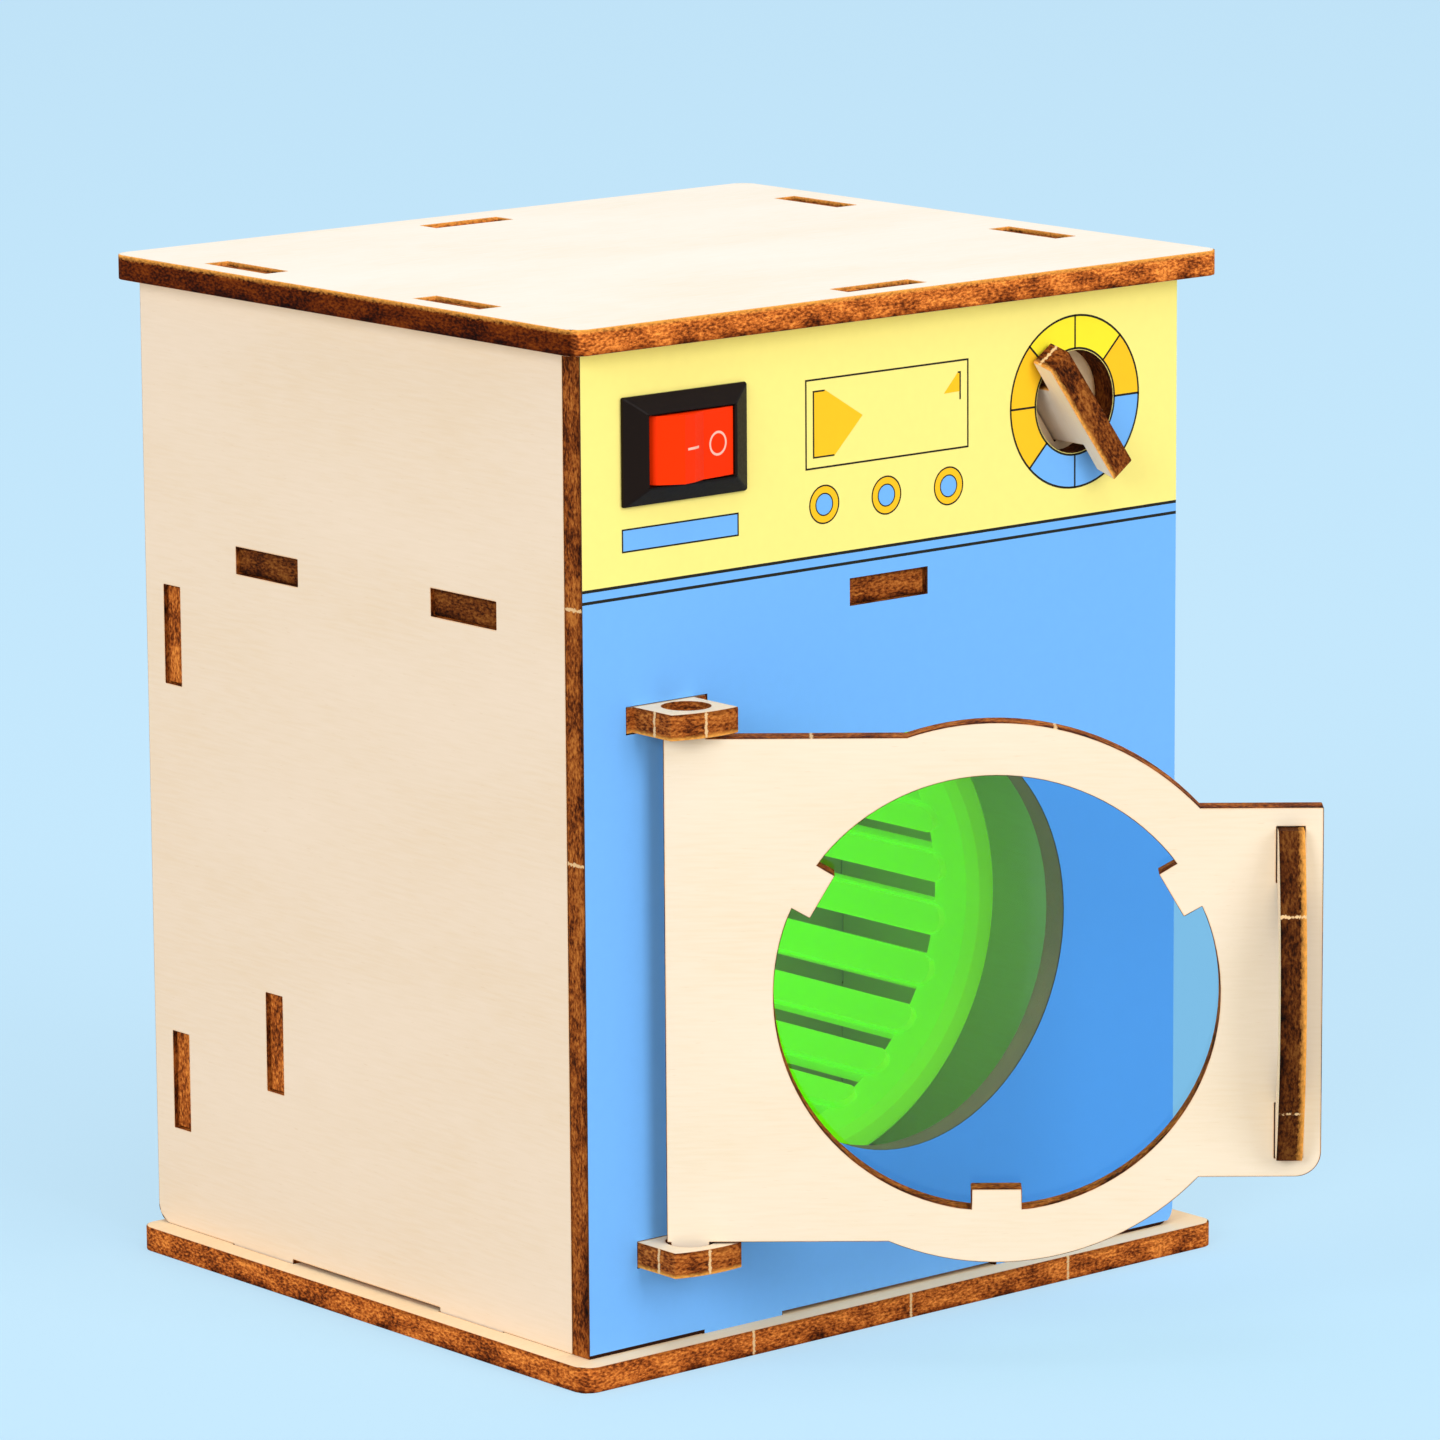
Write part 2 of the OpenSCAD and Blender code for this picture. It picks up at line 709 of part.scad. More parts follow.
module door_panel() {
    flap_bottom = ring[1] - flap_h / 2;
    upper_peg = upper_bracket_z + ply_t - peg_end;
    lower_peg = lower_bracket_z + peg_end / 2;
    color("bisque") at_door() sheet_y(-ply_t / 2) difference() {
        union() {
            translate([-hinge_edge, door_bottom]) square([ring[0] + hinge_edge, hinge_plate_h]);
            translate([-peg_w / 2, lower_peg]) square([peg_w, upper_peg - lower_peg]);
            translate(ring) circle(ring_r, $fn = 128);
            difference() {
                translate([ring[0], flap_bottom]) square([flap_reach - ring[0], flap_h]);
                corner_cut([flap_reach, flap_bottom], [1, -1], flap_r);
            }
        }
        translate(ring) window_outline();
        for (s = [-1, 1])
            translate([handle_u, ring[1] + s * (handle_len - handle_tab) / 2])
                square([ply_t + 2 * slot_gap, handle_tab + 2 * slot_gap], center = true);
    }
}

module door_window() {
    color("lightskyblue", 0.6) at_door() sheet_y(ply_t / 2, film_t)
        translate(ring) circle(window_r + film_lap, $fn = 128);
}

// Radius of a bow of the given chord and rise
function bow_radius(chord, rise) = (chord * chord / 4 + rise * rise) / (2 * rise);

module door_handle() {
    outer_r = bow_radius(handle_len, handle_bow - handle_end);
    inner_len = handle_len - 2 * handle_tab;
    inner_r = bow_radius(inner_len, grip_gap);
    color("saddlebrown") at_door() translate([handle_u, -ply_t / 2, ring[1]])
        rotate([90, 0, -90]) translate([0, 0, -ply_t / 2]) linear_extrude(ply_t) {
        difference() {
            intersection() {
                translate([0, -handle_len / 2]) square([handle_bow, handle_len]);
                translate([handle_bow - outer_r, 0]) circle(outer_r, $fn = 256);
            }
            translate([grip_gap - inner_r, 0]) circle(inner_r, $fn = 256);
        }
        for (s = [-1, 1])
            translate([-tab_out, s * (handle_len - handle_tab) / 2 - handle_tab / 2])
                square([tab_out + cut, handle_tab]);
    }
}

// ---- Knob ----

module knob_disc() {
    color("wheat") sheet_y(in_front + play) translate(knob_at) difference() {
        circle(knob_disc_r);
        rotate(knob_angle) square([grip_t + 2 * slot_gap, knob_tongue + 2 * slot_gap], center = true);
    }
}

// The grip plate, drawn with its reach across and its length up
module knob_handle() {
    high_end = knob_len / 2 - grip_drop;
    low_end = high_end - knob_len;
    back = ply_t + sheet_t + play + ply_t;
    color("saddlebrown") translate([knob_at[0], face_y, knob_at[1]]) rotate([0, -knob_angle, 0])
        translate([-grip_t / 2, 0, 0]) rotate([90, 0, 90]) linear_extrude(grip_t) polygon([
            [-high_lift, high_end], [high_chamfer[0] - knob_out, high_end - high_chamfer[1]],
            [-knob_out, low_end], [-low_lift, low_end + low_chamfer], [-low_lift, -knob_tongue / 2],
            [back, -knob_tongue / 2], [back, knob_tongue / 2], [-high_lift, knob_tongue / 2]
        ]);
}

// ---- Rocker switch ----

// A block of the switch, centred on its middle, from y0 to y1
module switch_block(w, y0, y1, h) {
    translate([switch_at[0] - w / 2, y0, switch_at[1] - h / 2]) cube([w, y1 - y0, h]);
}

module switch_housing() {
    color("dimgray") difference() {
        union() {
            hull() {
                switch_block(bezel_w, face_y - bezel_edge, face_y, bezel_h);
                switch_block(well_len + 2 * bezel_land, face_y - bezel_out, face_y, well_h + 2 * bezel_land);
            }
            switch_block(switch_w, face_y - bezel_edge / 2, switch_back, switch_h);
        }
        switch_block(well_len, face_y - bezel_out - cut, pivot_y + well_depth, well_h);
        translate([switch_at[0], pivot_y, switch_at[1] - switch_h / 2 - cut])
            cylinder(r = pivot_r + pivot_gap, h = switch_h + 2 * cut);
        switch_tabs(cut);
    }
}

// The rocker's section about its pivot: a long face with a shallow valley, which ends in a crest, and
// a steep face down to the raised end
module rocker_section() {
    polygon([
        [-0.9 * rocker_r, -rocker_floor], [-0.9 * rocker_r, 0.65 * rocker_r],
        [-0.12 * rocker_r, 0.6 * rocker_r], [0.22 * rocker_r, 0.68 * rocker_r],
        [0.51 * rocker_r, 0.69 * rocker_r], [0.92 * rocker_r, 0.36 * rocker_r],
        [0.98 * rocker_r, 0.23 * rocker_r], [0.98 * rocker_r, 0], [0.9 * rocker_r, -rocker_floor]
    ]);
}

module switch_rocker() {
    pin_len = switch_h - 2 * rocker_gap;
    color("red") translate([switch_at[0], pivot_y, switch_at[1]]) rotate([0, 0, 180 + rocker_travel / 2]) {
        translate([0, 0, -rocker_h / 2]) linear_extrude(rocker_h) rocker_section();
        translate([0, 0, -pin_len / 2]) cylinder(r = pivot_r, h = pin_len);
    }
}

// The two flat terminals, which stand out of the switch's back by reach
module switch_tabs(reach) {
    for (s = [-1, 1])
        translate([s * switch_terminal_at, 0, 0])
            switch_block(switch_terminal_w, switch_back - terminal_root, switch_back + reach, terminal_t);
}

module switch_terminals() { color("gold") switch_tabs(switch_terminal_len); }

// ---- Battery box ----

module battery_box() {
    color("dimgray") difference() {
        translate([box_left, box_front, box_z]) cube([box_len, box_w, box_h]);
        translate([box_left + box_wall, box_front + box_wall, box_z + box_wall])
            cube([bay_len, box_w - 2 * box_wall, box_h]);
        for (y = [front_cell_y, rear_cell_y])
            translate([box_left - cut, y, cell_z]) rotate([0, 90, 0])
                cylinder(r = lead_hole, h = box_wall + 2 * cut);
    }
}

module battery_tape() {
    color("white") translate([box_left + tape_inset, box_front + tape_inset, shelf_top])
        cube([box_len - 2 * tape_inset, box_w - 2 * tape_inset, tape_t]);
}

// A battery with its nub towards -X, its nub's tip at the origin
module cell() {
    rotate([0, 90, 0]) {
        cylinder(r = nub_r, h = nub_len + cut);
        translate([0, 0, nub_len]) cylinder(d = cell_d, h = cell_len);
    }
}

module front_battery() {
    color("seagreen") translate([box_left + box_wall + contact_t, front_cell_y, cell_z]) cell();
}

module rear_battery() {
    color("seagreen") translate([-box_left - box_wall - contact_t, rear_cell_y, cell_z])
        rotate([0, 0, 180]) cell();
}

module battery_contacts() {
    left_in = box_left + box_wall;
    right_in = -box_left - box_wall - contact_t;
    color("silver") {
        for (y = [front_cell_y, rear_cell_y])
            translate([left_in, y - contact_size / 2, cell_z - contact_size / 2])
                cube([contact_t, contact_size, contact_size]);
        translate([right_in, front_cell_y - contact_size / 2, cell_z - contact_size / 2])
            cube([contact_t, rear_cell_y - front_cell_y + contact_size, contact_size]);
    }
}

// A conical contact spring that rises from its plate at x along dir
module contact_spring(x, y, dir) {
    steps = 12 * spring_turns;
    run = spring_len - 2 * spring_wire_r;
    path = [for (i = [0:steps])
        let (a = 360 * spring_turns * i / steps, r = spring_r - (spring_r - spring_tip_r) * i / steps)
        [x + dir * (spring_wire_r + run * i / steps), y + r * cos(a), cell_z + r * sin(a)]];
    tube(path, spring_wire_r);
}

module battery_springs() {
    color("silver") {
        contact_spring(box_left + box_wall + contact_t, rear_cell_y, 1);
        contact_spring(-box_left - box_wall - contact_t, front_cell_y, -1);
    }
}

// ---- Drum ----

// A bar along the drum, round at its front end, as thick as it is high in radius
module drum_bar(low_r, high_r, w, start, end) {
    translate([low_r, start + w / 2, 0]) rotate([90, 0, 90]) linear_extrude(high_r - low_r) {
        translate([0, -w / 2]) square([end - start - w / 2, w]);
        circle(d = w, $fn = 24);
    }
}

module drum_slot() {
    slot_end = drum_len - drum_floor_t - slot_end_gap;
    translate([drum_in_r - rib_h - cut, slot_start, -drum_slot_w / 2])
        cube([drum_wall + rib_h + 2 * cut, slot_end - slot_start, drum_slot_w]);
}

module drum() {
    color("limegreen") translate([0, drum_y, drum_z]) difference() {
        union() {
            spun_y([0, 0, 0]) polygon([
                [drum_in_r, rim_t], [drum_in_r + lip_w, lip_drop], [drum_rim_r - rim_round, 0],
                [drum_rim_r, rim_round], [drum_rim_r, rim_t], [drum_out_r, rim_t + lip_w],
                [drum_out_r, drum_len - drum_chamfer], [drum_out_r - drum_chamfer, drum_len],
                [hub_boss_r + seat_gap, drum_len],
                [hub_boss_r + seat_gap, drum_len - drum_floor_t],
                [drum_in_r, drum_len - drum_floor_t]
            ]);
            for (i = [0:slot_count - 1])
                rotate([0, drum_turn + (i + 0.5) * slot_pitch, 0])
                    drum_bar(drum_in_r - rib_h, drum_in_r + drum_wall / 2, rib_w,
                        slot_start - rib_lead, drum_len - drum_floor_t / 2);
        }
        for (i = [0:slot_count - 1])
            rotate([0, drum_turn + i * slot_pitch, 0]) drum_slot();
        for (a = drum_screw_angles)
            rotate([0, a, 0]) along_y([drum_screw_at, drum_len - drum_floor_t - cut, 0],
                screw_r + run_gap, drum_floor_t + 2 * cut);
    }
}

module drum_hub() {
    bore = axle_r + seat_gap;
    hub_reach = drum_floor_t + hub_boss_len;
    color("whitesmoke") translate([0, drum_back, drum_z]) difference() {
        spun_y([0, 0, 0]) polygon([
            [bore, -hub_reach], [hub_boss_r - hub_chamfer, -hub_reach],
            [hub_boss_r, hub_chamfer - hub_reach], [hub_boss_r, 0], [hub_r, 0],
            [hub_r, hub_t], [bore, hub_t]
        ]);
        for (a = drum_screw_angles)
            rotate([0, a, 0]) along_y([drum_screw_at, -cut, 0], screw_r + seat_gap, hub_t + 2 * cut);
    }
}

// A small pan-head screw that points along +Y, with the underside of its head at the origin
module small_screw(len) {
    difference() {
        union() {
            along_y([0, -screw_head_h, 0], screw_head_r, screw_head_h);
            along_y([0, 0, 0], screw_r, len);
        }
        for (a = [0, 90])
            rotate([0, a, 0]) translate([0, -screw_head_h, 0])
                cube([1.2 * screw_head_r, screw_head_h, screw_cross_w], center = true);
    }
}

module drum_screws() {
    color("silver") translate([0, drum_back - drum_floor_t, drum_z]) for (a = drum_screw_angles)
        rotate([0, a, 0]) translate([drum_screw_at, 0, 0]) small_screw(drum_floor_t + hub_t);
}

module drum_axle() { color("silver") along_y([0, axle_start, drum_z], axle_r, axle_end - axle_start); }

// A flanged bush whose flange lies against a panel's front face at y
module axle_bush(y, sleeve) {
    bore = axle_r + run_gap;
    spun_y([0, y, drum_z]) polygon([
        [bore, -bush_flange_t], [bush_flange_r, -bush_flange_t], [bush_flange_r, 0], [bush_r, 0],
        [bush_r, sleeve], [bore, sleeve]
    ]);
}

module front_axle_bush() { color("ivory") axle_bush(motor_plate_y, ply_t + bush_sleeve); }
module rear_axle_bush() { color("ivory") axle_bush(rear_panel_y, ply_t); }

// Half a grooved pulley's outline, with the belt line at radius pitch
function pulley_outline(pitch, bore) =
    let (low = pitch - belt_r - belt_gap, high = pitch + rim_over_belt, h = groove_w / 2)
    [[bore, -pulley_w / 2], [high, -pulley_w / 2], [high, -h - groove_flare], [low, -h], [low, h],
        [high, h + groove_flare], [high, pulley_w / 2], [bore, pulley_w / 2]];

module drum_pulley() {
    bore = axle_r + seat_gap;
    web_r = (drum_pitch_r + axle_r) / 2;
    color("orange") difference() {
        spun_y([0, belt_y, drum_z]) polygon(pulley_outline(drum_pitch_r, bore));
        for (a = [0:60:300])
            translate([0, belt_y - pulley_w, drum_z]) rotate([0, a, 0])
                along_y([web_r, 0, 0], web_r / 4, 2 * pulley_w);
    }
}

module motor_pulley() {
    color("orange") spun_y([motor_x, belt_y, motor_z])
        polygon(pulley_outline(motor_pitch_r, shaft_r + seat_gap));
}

// The belt runs round both pulleys on two straight stretches
module drive_belt() {
    arc_steps = 20;
    lean = acos((drum_pitch_r - motor_pitch_r) / motor_distance);
    path = concat(
        [for (i = [0:arc_steps])
            let (a = motor_turn + lean + (360 - 2 * lean) * i / arc_steps)
            [drum_pitch_r * cos(a), belt_y, drum_z + drum_pitch_r * sin(a)]],
        [for (i = [0:arc_steps])
            let (a = motor_turn - lean + 2 * lean * i / arc_steps)
            [motor_x + motor_pitch_r * cos(a), belt_y, motor_z + motor_pitch_r * sin(a)]]
    );
    color("black") tube(path, belt_r, closed = true, edges = 12);
}

// ---- Motor, with its flats facing the drum ----

// The can's section, with the flats across the first axis
module motor_section(inset) {
    intersection() {
        circle(d = motor_d - 2 * inset);
        square([motor_flat - 2 * inset, motor_d], center = true);
    }
}

// A solid of the given section from y0 to y1, on the motor's axis
module motor_block(y0, y1) {
    at_motor(y1) rotate([90, 0, 0]) linear_extrude(y1 - y0) children();
}

module motor_can() {
    open_y = end_cap_y + end_cap_len;
    color("silver") difference() {
        union() {
            motor_block(open_y, motor_plate_y) motor_section(0);
            along_y([motor_x, motor_plate_y - can_t, motor_z], boss_r, boss_len + can_t);
        }
        motor_block(open_y - cut, motor_plate_y - can_t) motor_section(can_t);
        along_y([motor_x, open_y, motor_z], shaft_r + run_gap, motor_len);
        at_motor(motor_plate_y - can_t - cut) for (s = [-1, 1])
            along_y([0, 0, s * motor_screw_at], screw_r + seat_gap, can_t + 2 * cut);
    }
}

module motor_magnets() {
    magnet_y = motor_plate_y - armature_back - armature_len;
    magnet_out = motor_d / 2 - can_t - seat_gap;
    magnet_w = motor_flat - 2 * can_t - 2 * magnet_side_gap;
    color("darkslategray") motor_block(magnet_y, magnet_y + armature_len) for (s = [-1, 1])
        intersection() {
            difference() {
                circle(magnet_out);
                circle(magnet_out - magnet_t);
            }
            translate([0, s * magnet_out]) square([magnet_w, magnet_out], center = true);
        }
}

module motor_end_cap() {
    split_y = end_cap_y + end_cap_len;
    color("white") difference() {
        union() {
            motor_block(end_cap_y, split_y) motor_section(0);
            motor_block(split_y, split_y + cap_spigot) motor_section(can_t + run_gap);
        }
        along_y([motor_x, split_y - cap_bearing, motor_z], shaft_r + run_gap,
            cap_bearing + cap_spigot + cut);
        motor_tabs(cut);
    }
}

// The two flat terminals, which stand out of the end cap by reach
module motor_tabs(reach) {
    at_motor(end_cap_y - reach) for (s = [-1, 1])
        translate([-terminal_t / 2, 0, s * motor_terminal_at - terminal_w / 2])
            cube([terminal_t, reach + terminal_root, terminal_w]);
}

module motor_terminals() { color("gold") motor_tabs(terminal_out); }

module motor_screws() {
    color("silver") at_motor(plate_back_y) for (s = [-1, 1])
        translate([0, 0, s * motor_screw_at]) mirror([0, 1, 0]) small_screw(ply_t + can_t);
}

// Three wound poles on the shaft
module motor_armature() {
    start = motor_plate_y - armature_back - armature_len;
    color("chocolate") at_motor(start) difference() {
        along_y([0, 0, 0], armature_r, armature_len);
        along_y([0, -cut, 0], shaft_r + seat_gap, armature_len + 2 * cut);
        for (a = [0, 120, 240])
            rotate([0, a, 0]) translate([armature_r - pole_slot_depth, -cut, -pole_slot_w / 2])
                cube([pole_slot_depth + cut, armature_len + 2 * cut, pole_slot_w]);
    }
}

module motor_shaft() {
    start = end_cap_y + end_cap_len - cap_bearing + play;
    color("lightgray") along_y([motor_x, start, motor_z], shaft_r, motor_plate_y + shaft_out - start);
}

// ---- Wires, each from one metal face to another ----

lead = 2;
lead_x = box_left + box_wall;
lead_out = box_left - lead / 2;
side_gap_x = (box_left + in_left) / 2;
front_gap_y = (in_front + box_front) / 2;
switch_tab_y = switch_back + switch_terminal_len;
red_end = [switch_at[0] - switch_terminal_at, switch_tab_y, switch_at[1]];
switch_end = [switch_at[0] + switch_terminal_at, switch_tab_y, switch_at[1]];
motor_low = [motor_x + motor_terminal_at * sin(motor_turn), end_cap_y - terminal_out,
    motor_z - motor_terminal_at * cos(motor_turn)];
motor_high = [motor_x - motor_terminal_at * sin(motor_turn), end_cap_y - terminal_out,
    motor_z + motor_terminal_at * cos(motor_turn)];
hole_top = [wire_hole[0], wire_hole[1], shelf_top];

red_route = [
    [lead_x, front_cell_y, cell_z], [lead_out, front_cell_y, cell_z],
    [side_gap_x, front_cell_y - lead, cell_z + 0.5], [side_gap_x, box_front - lead, cell_z + 3],
    red_end + [-lead, 2 * lead, 0], red_end + [0, lead, 0], red_end
];
black_route = [
    [lead_x, rear_cell_y, cell_z], [lead_out, rear_cell_y, cell_z],
    [side_gap_x, rear_cell_y - lead, cell_z], [side_gap_x, front_cell_y, cell_z - 3],
    [side_gap_x, box_front, cell_z - 3], [lead_x, box_front - 2 * lead, cell_z - 4],
    [box_left / 3, box_front - 5, shelf_top + lead], [-box_left / 3, box_front - 6, shelf_top + lead],
    hole_top + [-4, 3, 2.5], hole_top + [0.8, 1.2, 1], hole_top + [1, 1, -4],
    motor_low + [0, -2 * lead, 4], motor_low + [0, -lead, 0], motor_low
];
switch_route = [
    switch_end, switch_end + [0, lead, 0], switch_end + [3, 4, -2],
    [box_left / 3, front_gap_y, cell_z + 1], [-box_left / 3, front_gap_y - lead, cell_z - 3],
    hole_top + [-5, -1, 4], hole_top + [-1, -1, 1],
    hole_top + [-1, -1, -4], motor_high + [0, -5, 1.5], motor_high + [0, -lead, 0], motor_high
];

module red_battery_wire() { color("red") wire(red_route); }
module black_battery_wire() { color("black") wire(black_route); }
module switch_wire() { color("red") wire(switch_route); }

base_panel();
lid_panel();
left_side_panel();
right_side_panel();
front_panel();
front_sheet();
rear_panel();
shelf_panel();
motor_plate();
upper_hinge_bracket();
lower_hinge_bracket();
door_panel();
door_window();
door_handle();
knob_disc();
knob_handle();
switch_housing();
switch_rocker();
switch_terminals();
battery_box();
battery_tape();
front_battery();
rear_battery();
battery_contacts();
battery_springs();
drum();
drum_hub();
drum_screws();
drum_axle();
front_axle_bush();
rear_axle_bush();
drum_pulley();
drive_belt();
motor_can();
motor_magnets();
motor_end_cap();
motor_terminals();
motor_screws();
motor_armature();
motor_shaft();
motor_pulley();
red_battery_wire();
black_battery_wire();
switch_wire();
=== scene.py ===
"""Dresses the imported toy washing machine: plywood, print, plastics, metals, film, light and camera."""
import json
import math

import bpy
from mathutils import Matrix, Vector


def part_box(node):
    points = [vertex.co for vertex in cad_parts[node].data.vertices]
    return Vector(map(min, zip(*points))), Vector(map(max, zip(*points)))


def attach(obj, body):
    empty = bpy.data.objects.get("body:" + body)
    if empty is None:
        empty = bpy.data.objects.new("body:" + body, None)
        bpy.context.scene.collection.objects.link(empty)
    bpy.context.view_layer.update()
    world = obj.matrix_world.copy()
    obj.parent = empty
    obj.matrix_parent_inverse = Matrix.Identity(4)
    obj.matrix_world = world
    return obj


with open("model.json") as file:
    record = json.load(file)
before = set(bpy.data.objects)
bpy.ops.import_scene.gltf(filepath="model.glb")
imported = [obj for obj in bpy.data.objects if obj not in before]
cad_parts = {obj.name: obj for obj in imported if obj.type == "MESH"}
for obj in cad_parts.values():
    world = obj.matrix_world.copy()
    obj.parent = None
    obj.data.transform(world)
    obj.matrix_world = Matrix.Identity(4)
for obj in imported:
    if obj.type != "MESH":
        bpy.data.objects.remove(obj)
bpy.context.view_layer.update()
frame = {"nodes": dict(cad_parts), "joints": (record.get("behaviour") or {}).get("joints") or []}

MM = 0.001
NODES = frame["nodes"]
JOINTS = {joint["name"]: joint for joint in frame["joints"]}
X, Y, Z = Vector((1, 0, 0)), Vector((0, 1, 0)), Vector((0, 0, 1))

# ---- Sizes read from the frame ----

base_low, base_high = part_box("base_panel")
lid_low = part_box("lid_panel")[0]
sheet_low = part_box("front_sheet")[0]
PLY = base_high.z - base_low.z
LEFT = sheet_low.x
FLOOR_Z = base_high.z
FACE_Y = sheet_low.y

# The door as it stands open: along it from its hinge, through it, and where its handle is
HINGE = Vector(JOINTS["door_hinge"]["pos_m"])
DOOR_OPEN = math.radians(-JOINTS["door_hinge"]["range_deg"][0])
DOOR_U = Vector((math.cos(DOOR_OPEN), -math.sin(DOOR_OPEN), 0))
DOOR_BACK = Vector((math.sin(DOOR_OPEN), math.cos(DOOR_OPEN), 0))
HANDLE_U = 56.7 * MM

# The knob: the printed dial's middle beside it, its grip's thickness, and how far it leans left
KNOB = Vector(JOINTS["knob_turn"]["pos_m"])
DIAL = KNOB + Vector((0.7, 0, 0.5)) * MM
GRIP_T = 2.9 * MM
KNOB_ANGLE = math.radians(35)
KNOB_UP = Vector((-math.sin(KNOB_ANGLE), 0, math.cos(KNOB_ANGLE)))
KNOB_SIDE = Vector((math.cos(KNOB_ANGLE), 0, math.sin(KNOB_ANGLE)))

# The switch's rocker: its pivot, and its tilt as it rests
PIVOT = Vector(JOINTS["rocker_tilt"]["pos_m"])
ROCKER_TILT = math.radians(JOINTS["rocker_tilt"]["range_deg"][1] / 2)


def rgb(red, green, blue):
    """A colour written from 0 to 255, in Blender's linear form."""
    def linear(value):
        share = value / 255
        return share / 12.92 if share <= 0.04045 else ((share + 0.055) / 1.055) ** 2.4
    return (linear(red), linear(green), linear(blue), 1)


# ---- Camera ----

def add_camera():
    """The photograph's view: where it stands, where it looks and its long lens."""
    place = Vector((-479.67, -576.83, 202.87)) * MM
    azimuth, elevation, roll = (math.radians(a) for a in (-40.143, 11.193, -0.381))
    right = Vector((math.cos(azimuth), math.sin(azimuth), 0))
    back = Vector((math.sin(azimuth) * math.cos(elevation),
                   -math.cos(azimuth) * math.cos(elevation), math.sin(elevation)))
    up = back.cross(right)
    turned_right = math.cos(roll) * right + math.sin(roll) * up
    turned_up = -math.sin(roll) * right + math.cos(roll) * up
    data = bpy.data.cameras.new("camera")
    data.sensor_width = 36
    data.lens = 191.354
    data.clip_end = 20
    camera = bpy.data.objects.new("camera", data)
    turn = Matrix((turned_right, turned_up, back)).transposed().to_4x4()
    camera.matrix_world = Matrix.Translation(place) @ turn
    bpy.context.scene.collection.objects.link(camera)
    bpy.context.scene.camera = camera


# ---- Node trees ----

class Nodes:
    """Short calls for the nodes of one tree."""

    def __init__(self, tree):
        self.tree = tree

    def set(self, node, sockets):
        """Links or fills a node's sockets."""
        for key, value in sockets.items():
            if isinstance(value, bpy.types.NodeSocket):
                self.tree.links.new(value, node.inputs[key])
            else:
                node.inputs[key].default_value = value

    def node(self, kind, sockets, **settings):
        made = self.tree.nodes.new("ShaderNode" + kind)
        for key, value in settings.items():
            setattr(made, key, value)
        self.set(made, sockets)
        return made

    def place(self):
        return self.node("TexCoord", {}).outputs["Object"]

    def normal(self):
        return self.node("TexCoord", {}).outputs["Normal"]

    def math(self, operation, a, b=0.0):
        return self.node("Math", {0: a, 1: b}, operation=operation).outputs[0]

    def along(self, vector, axis):
        """How far a vector reaches along an axis."""
        return self.node("VectorMath", {0: vector, 1: axis}, operation="DOT_PRODUCT").outputs["Value"]

    def distance(self, vector, point):
        return self.node("VectorMath", {0: vector, 1: point}, operation="DISTANCE").outputs["Value"]

    def split(self, vector):
        return self.node("SeparateXYZ", {0: vector}).outputs

    def vector(self, x, y, z=0.0):
        return self.node("CombineXYZ", {0: x, 1: y, 2: z}).outputs[0]

    def scaled(self, value, per_metre):
        return self.math("MULTIPLY", value, per_metre)

    def noise(self, where, scale=1.0, detail=2.0, roughness=0.5):
        sockets = {"Vector": where, "Scale": scale, "Detail": detail, "Roughness": roughness}
        return self.node("TexNoise", sockets).outputs["Fac"]

    def remap(self, value, low, high, to_low=0.0, to_high=1.0):
        sockets = {"Value": value, "From Min": low, "From Max": high, "To Min": to_low, "To Max": to_high}
        return self.node("MapRange", sockets).outputs["Result"]

    def ramp(self, value, stops, interpolation="LINEAR"):
        """A colour ramp from (position, colour) pairs."""
        made = self.node("ValToRGB", {"Fac": value})
        made.color_ramp.interpolation = interpolation
        spots = made.color_ramp.elements
        while len(spots) < len(stops):
            spots.new(1)
        for spot, (position, colour) in zip(spots, stops):
            spot.position = position
            spot.color = colour
        return made.outputs["Color"]

    def mix(self, share, a, b, blend="MIX"):
        made = self.node("Mix", {}, data_type="RGBA", blend_type=blend)
        self.set(made, {0: share, 6: a, 7: b})
        return made.outputs[2]


class Look(Nodes):
    """A material of one shader, and the nodes that make it up."""

    def __init__(self, name, sockets):
        self.material = bpy.data.materials.new(name)
        self.material.use_nodes = True
        super().__init__(self.material.node_tree)
        self.shader = self.tree.nodes["Principled BSDF"]
        self.output = self.tree.nodes["Material Output"]
        self.set(self.shader, sockets)

    def bump(self, height, distance, strength):
        made = self.node("Bump", {"Height": height, "Distance": distance, "Strength": strength})
        self.set(self.shader, {"Normal": made.outputs["Normal"]})


# ---- Plywood ----

VENEER = {
    # white is painted light: the lid's top, lighter as a top that catches the sky.
    "white": rgb(255, 246, 232),
    "cream": rgb(237, 222, 198),
    "plain": rgb(247, 227, 198),
    "warm": rgb(241, 223, 200),
    # bright is painted light: lighter and warmer for the base and the knob's disc, whose faces sit in
    # shade.
    "bright": rgb(255, 227, 188),
}
BURNT = {
    "deep": rgb(46, 19, 5),
    "dark": rgb(100, 46, 15),
    "plain": rgb(160, 84, 31),
    "light": rgb(212, 132, 58),
    "torn": rgb(230, 193, 142),
    "scorch": rgb(232, 168, 88),
    "lit": rgb(248, 172, 78),
    "opening_light": rgb(196, 142, 100),
}

# How much of its light a darker edge keeps, in red, green and blue. PIT_TONE is painted shade:
# it darkens the edges of the knob's hole.
PIT_TONE = (0.3, 0.26, 0.22, 1)
BLACK_TONE = (0.2, 0.12, 0.045, 1)
HALF_TONE = (0.45, 0.45, 0.45, 1)

# The plies through a sheet, from one face to the other: darker rims and thin glue lines
PLIES = [(0.0, (0.3, 0.24, 0.2, 1)), (0.14, (0.66, 0.58, 0.52, 1)), (0.3, (1, 1, 1, 1)),
         (0.38, (0.8, 0.76, 0.72, 1)), (0.48, (1, 1, 1, 1)), (0.7, (0.92, 0.9, 0.88, 1)),
         (0.88, (1, 1, 1, 1)), (1.0, (0.5, 0.42, 0.36, 1))]


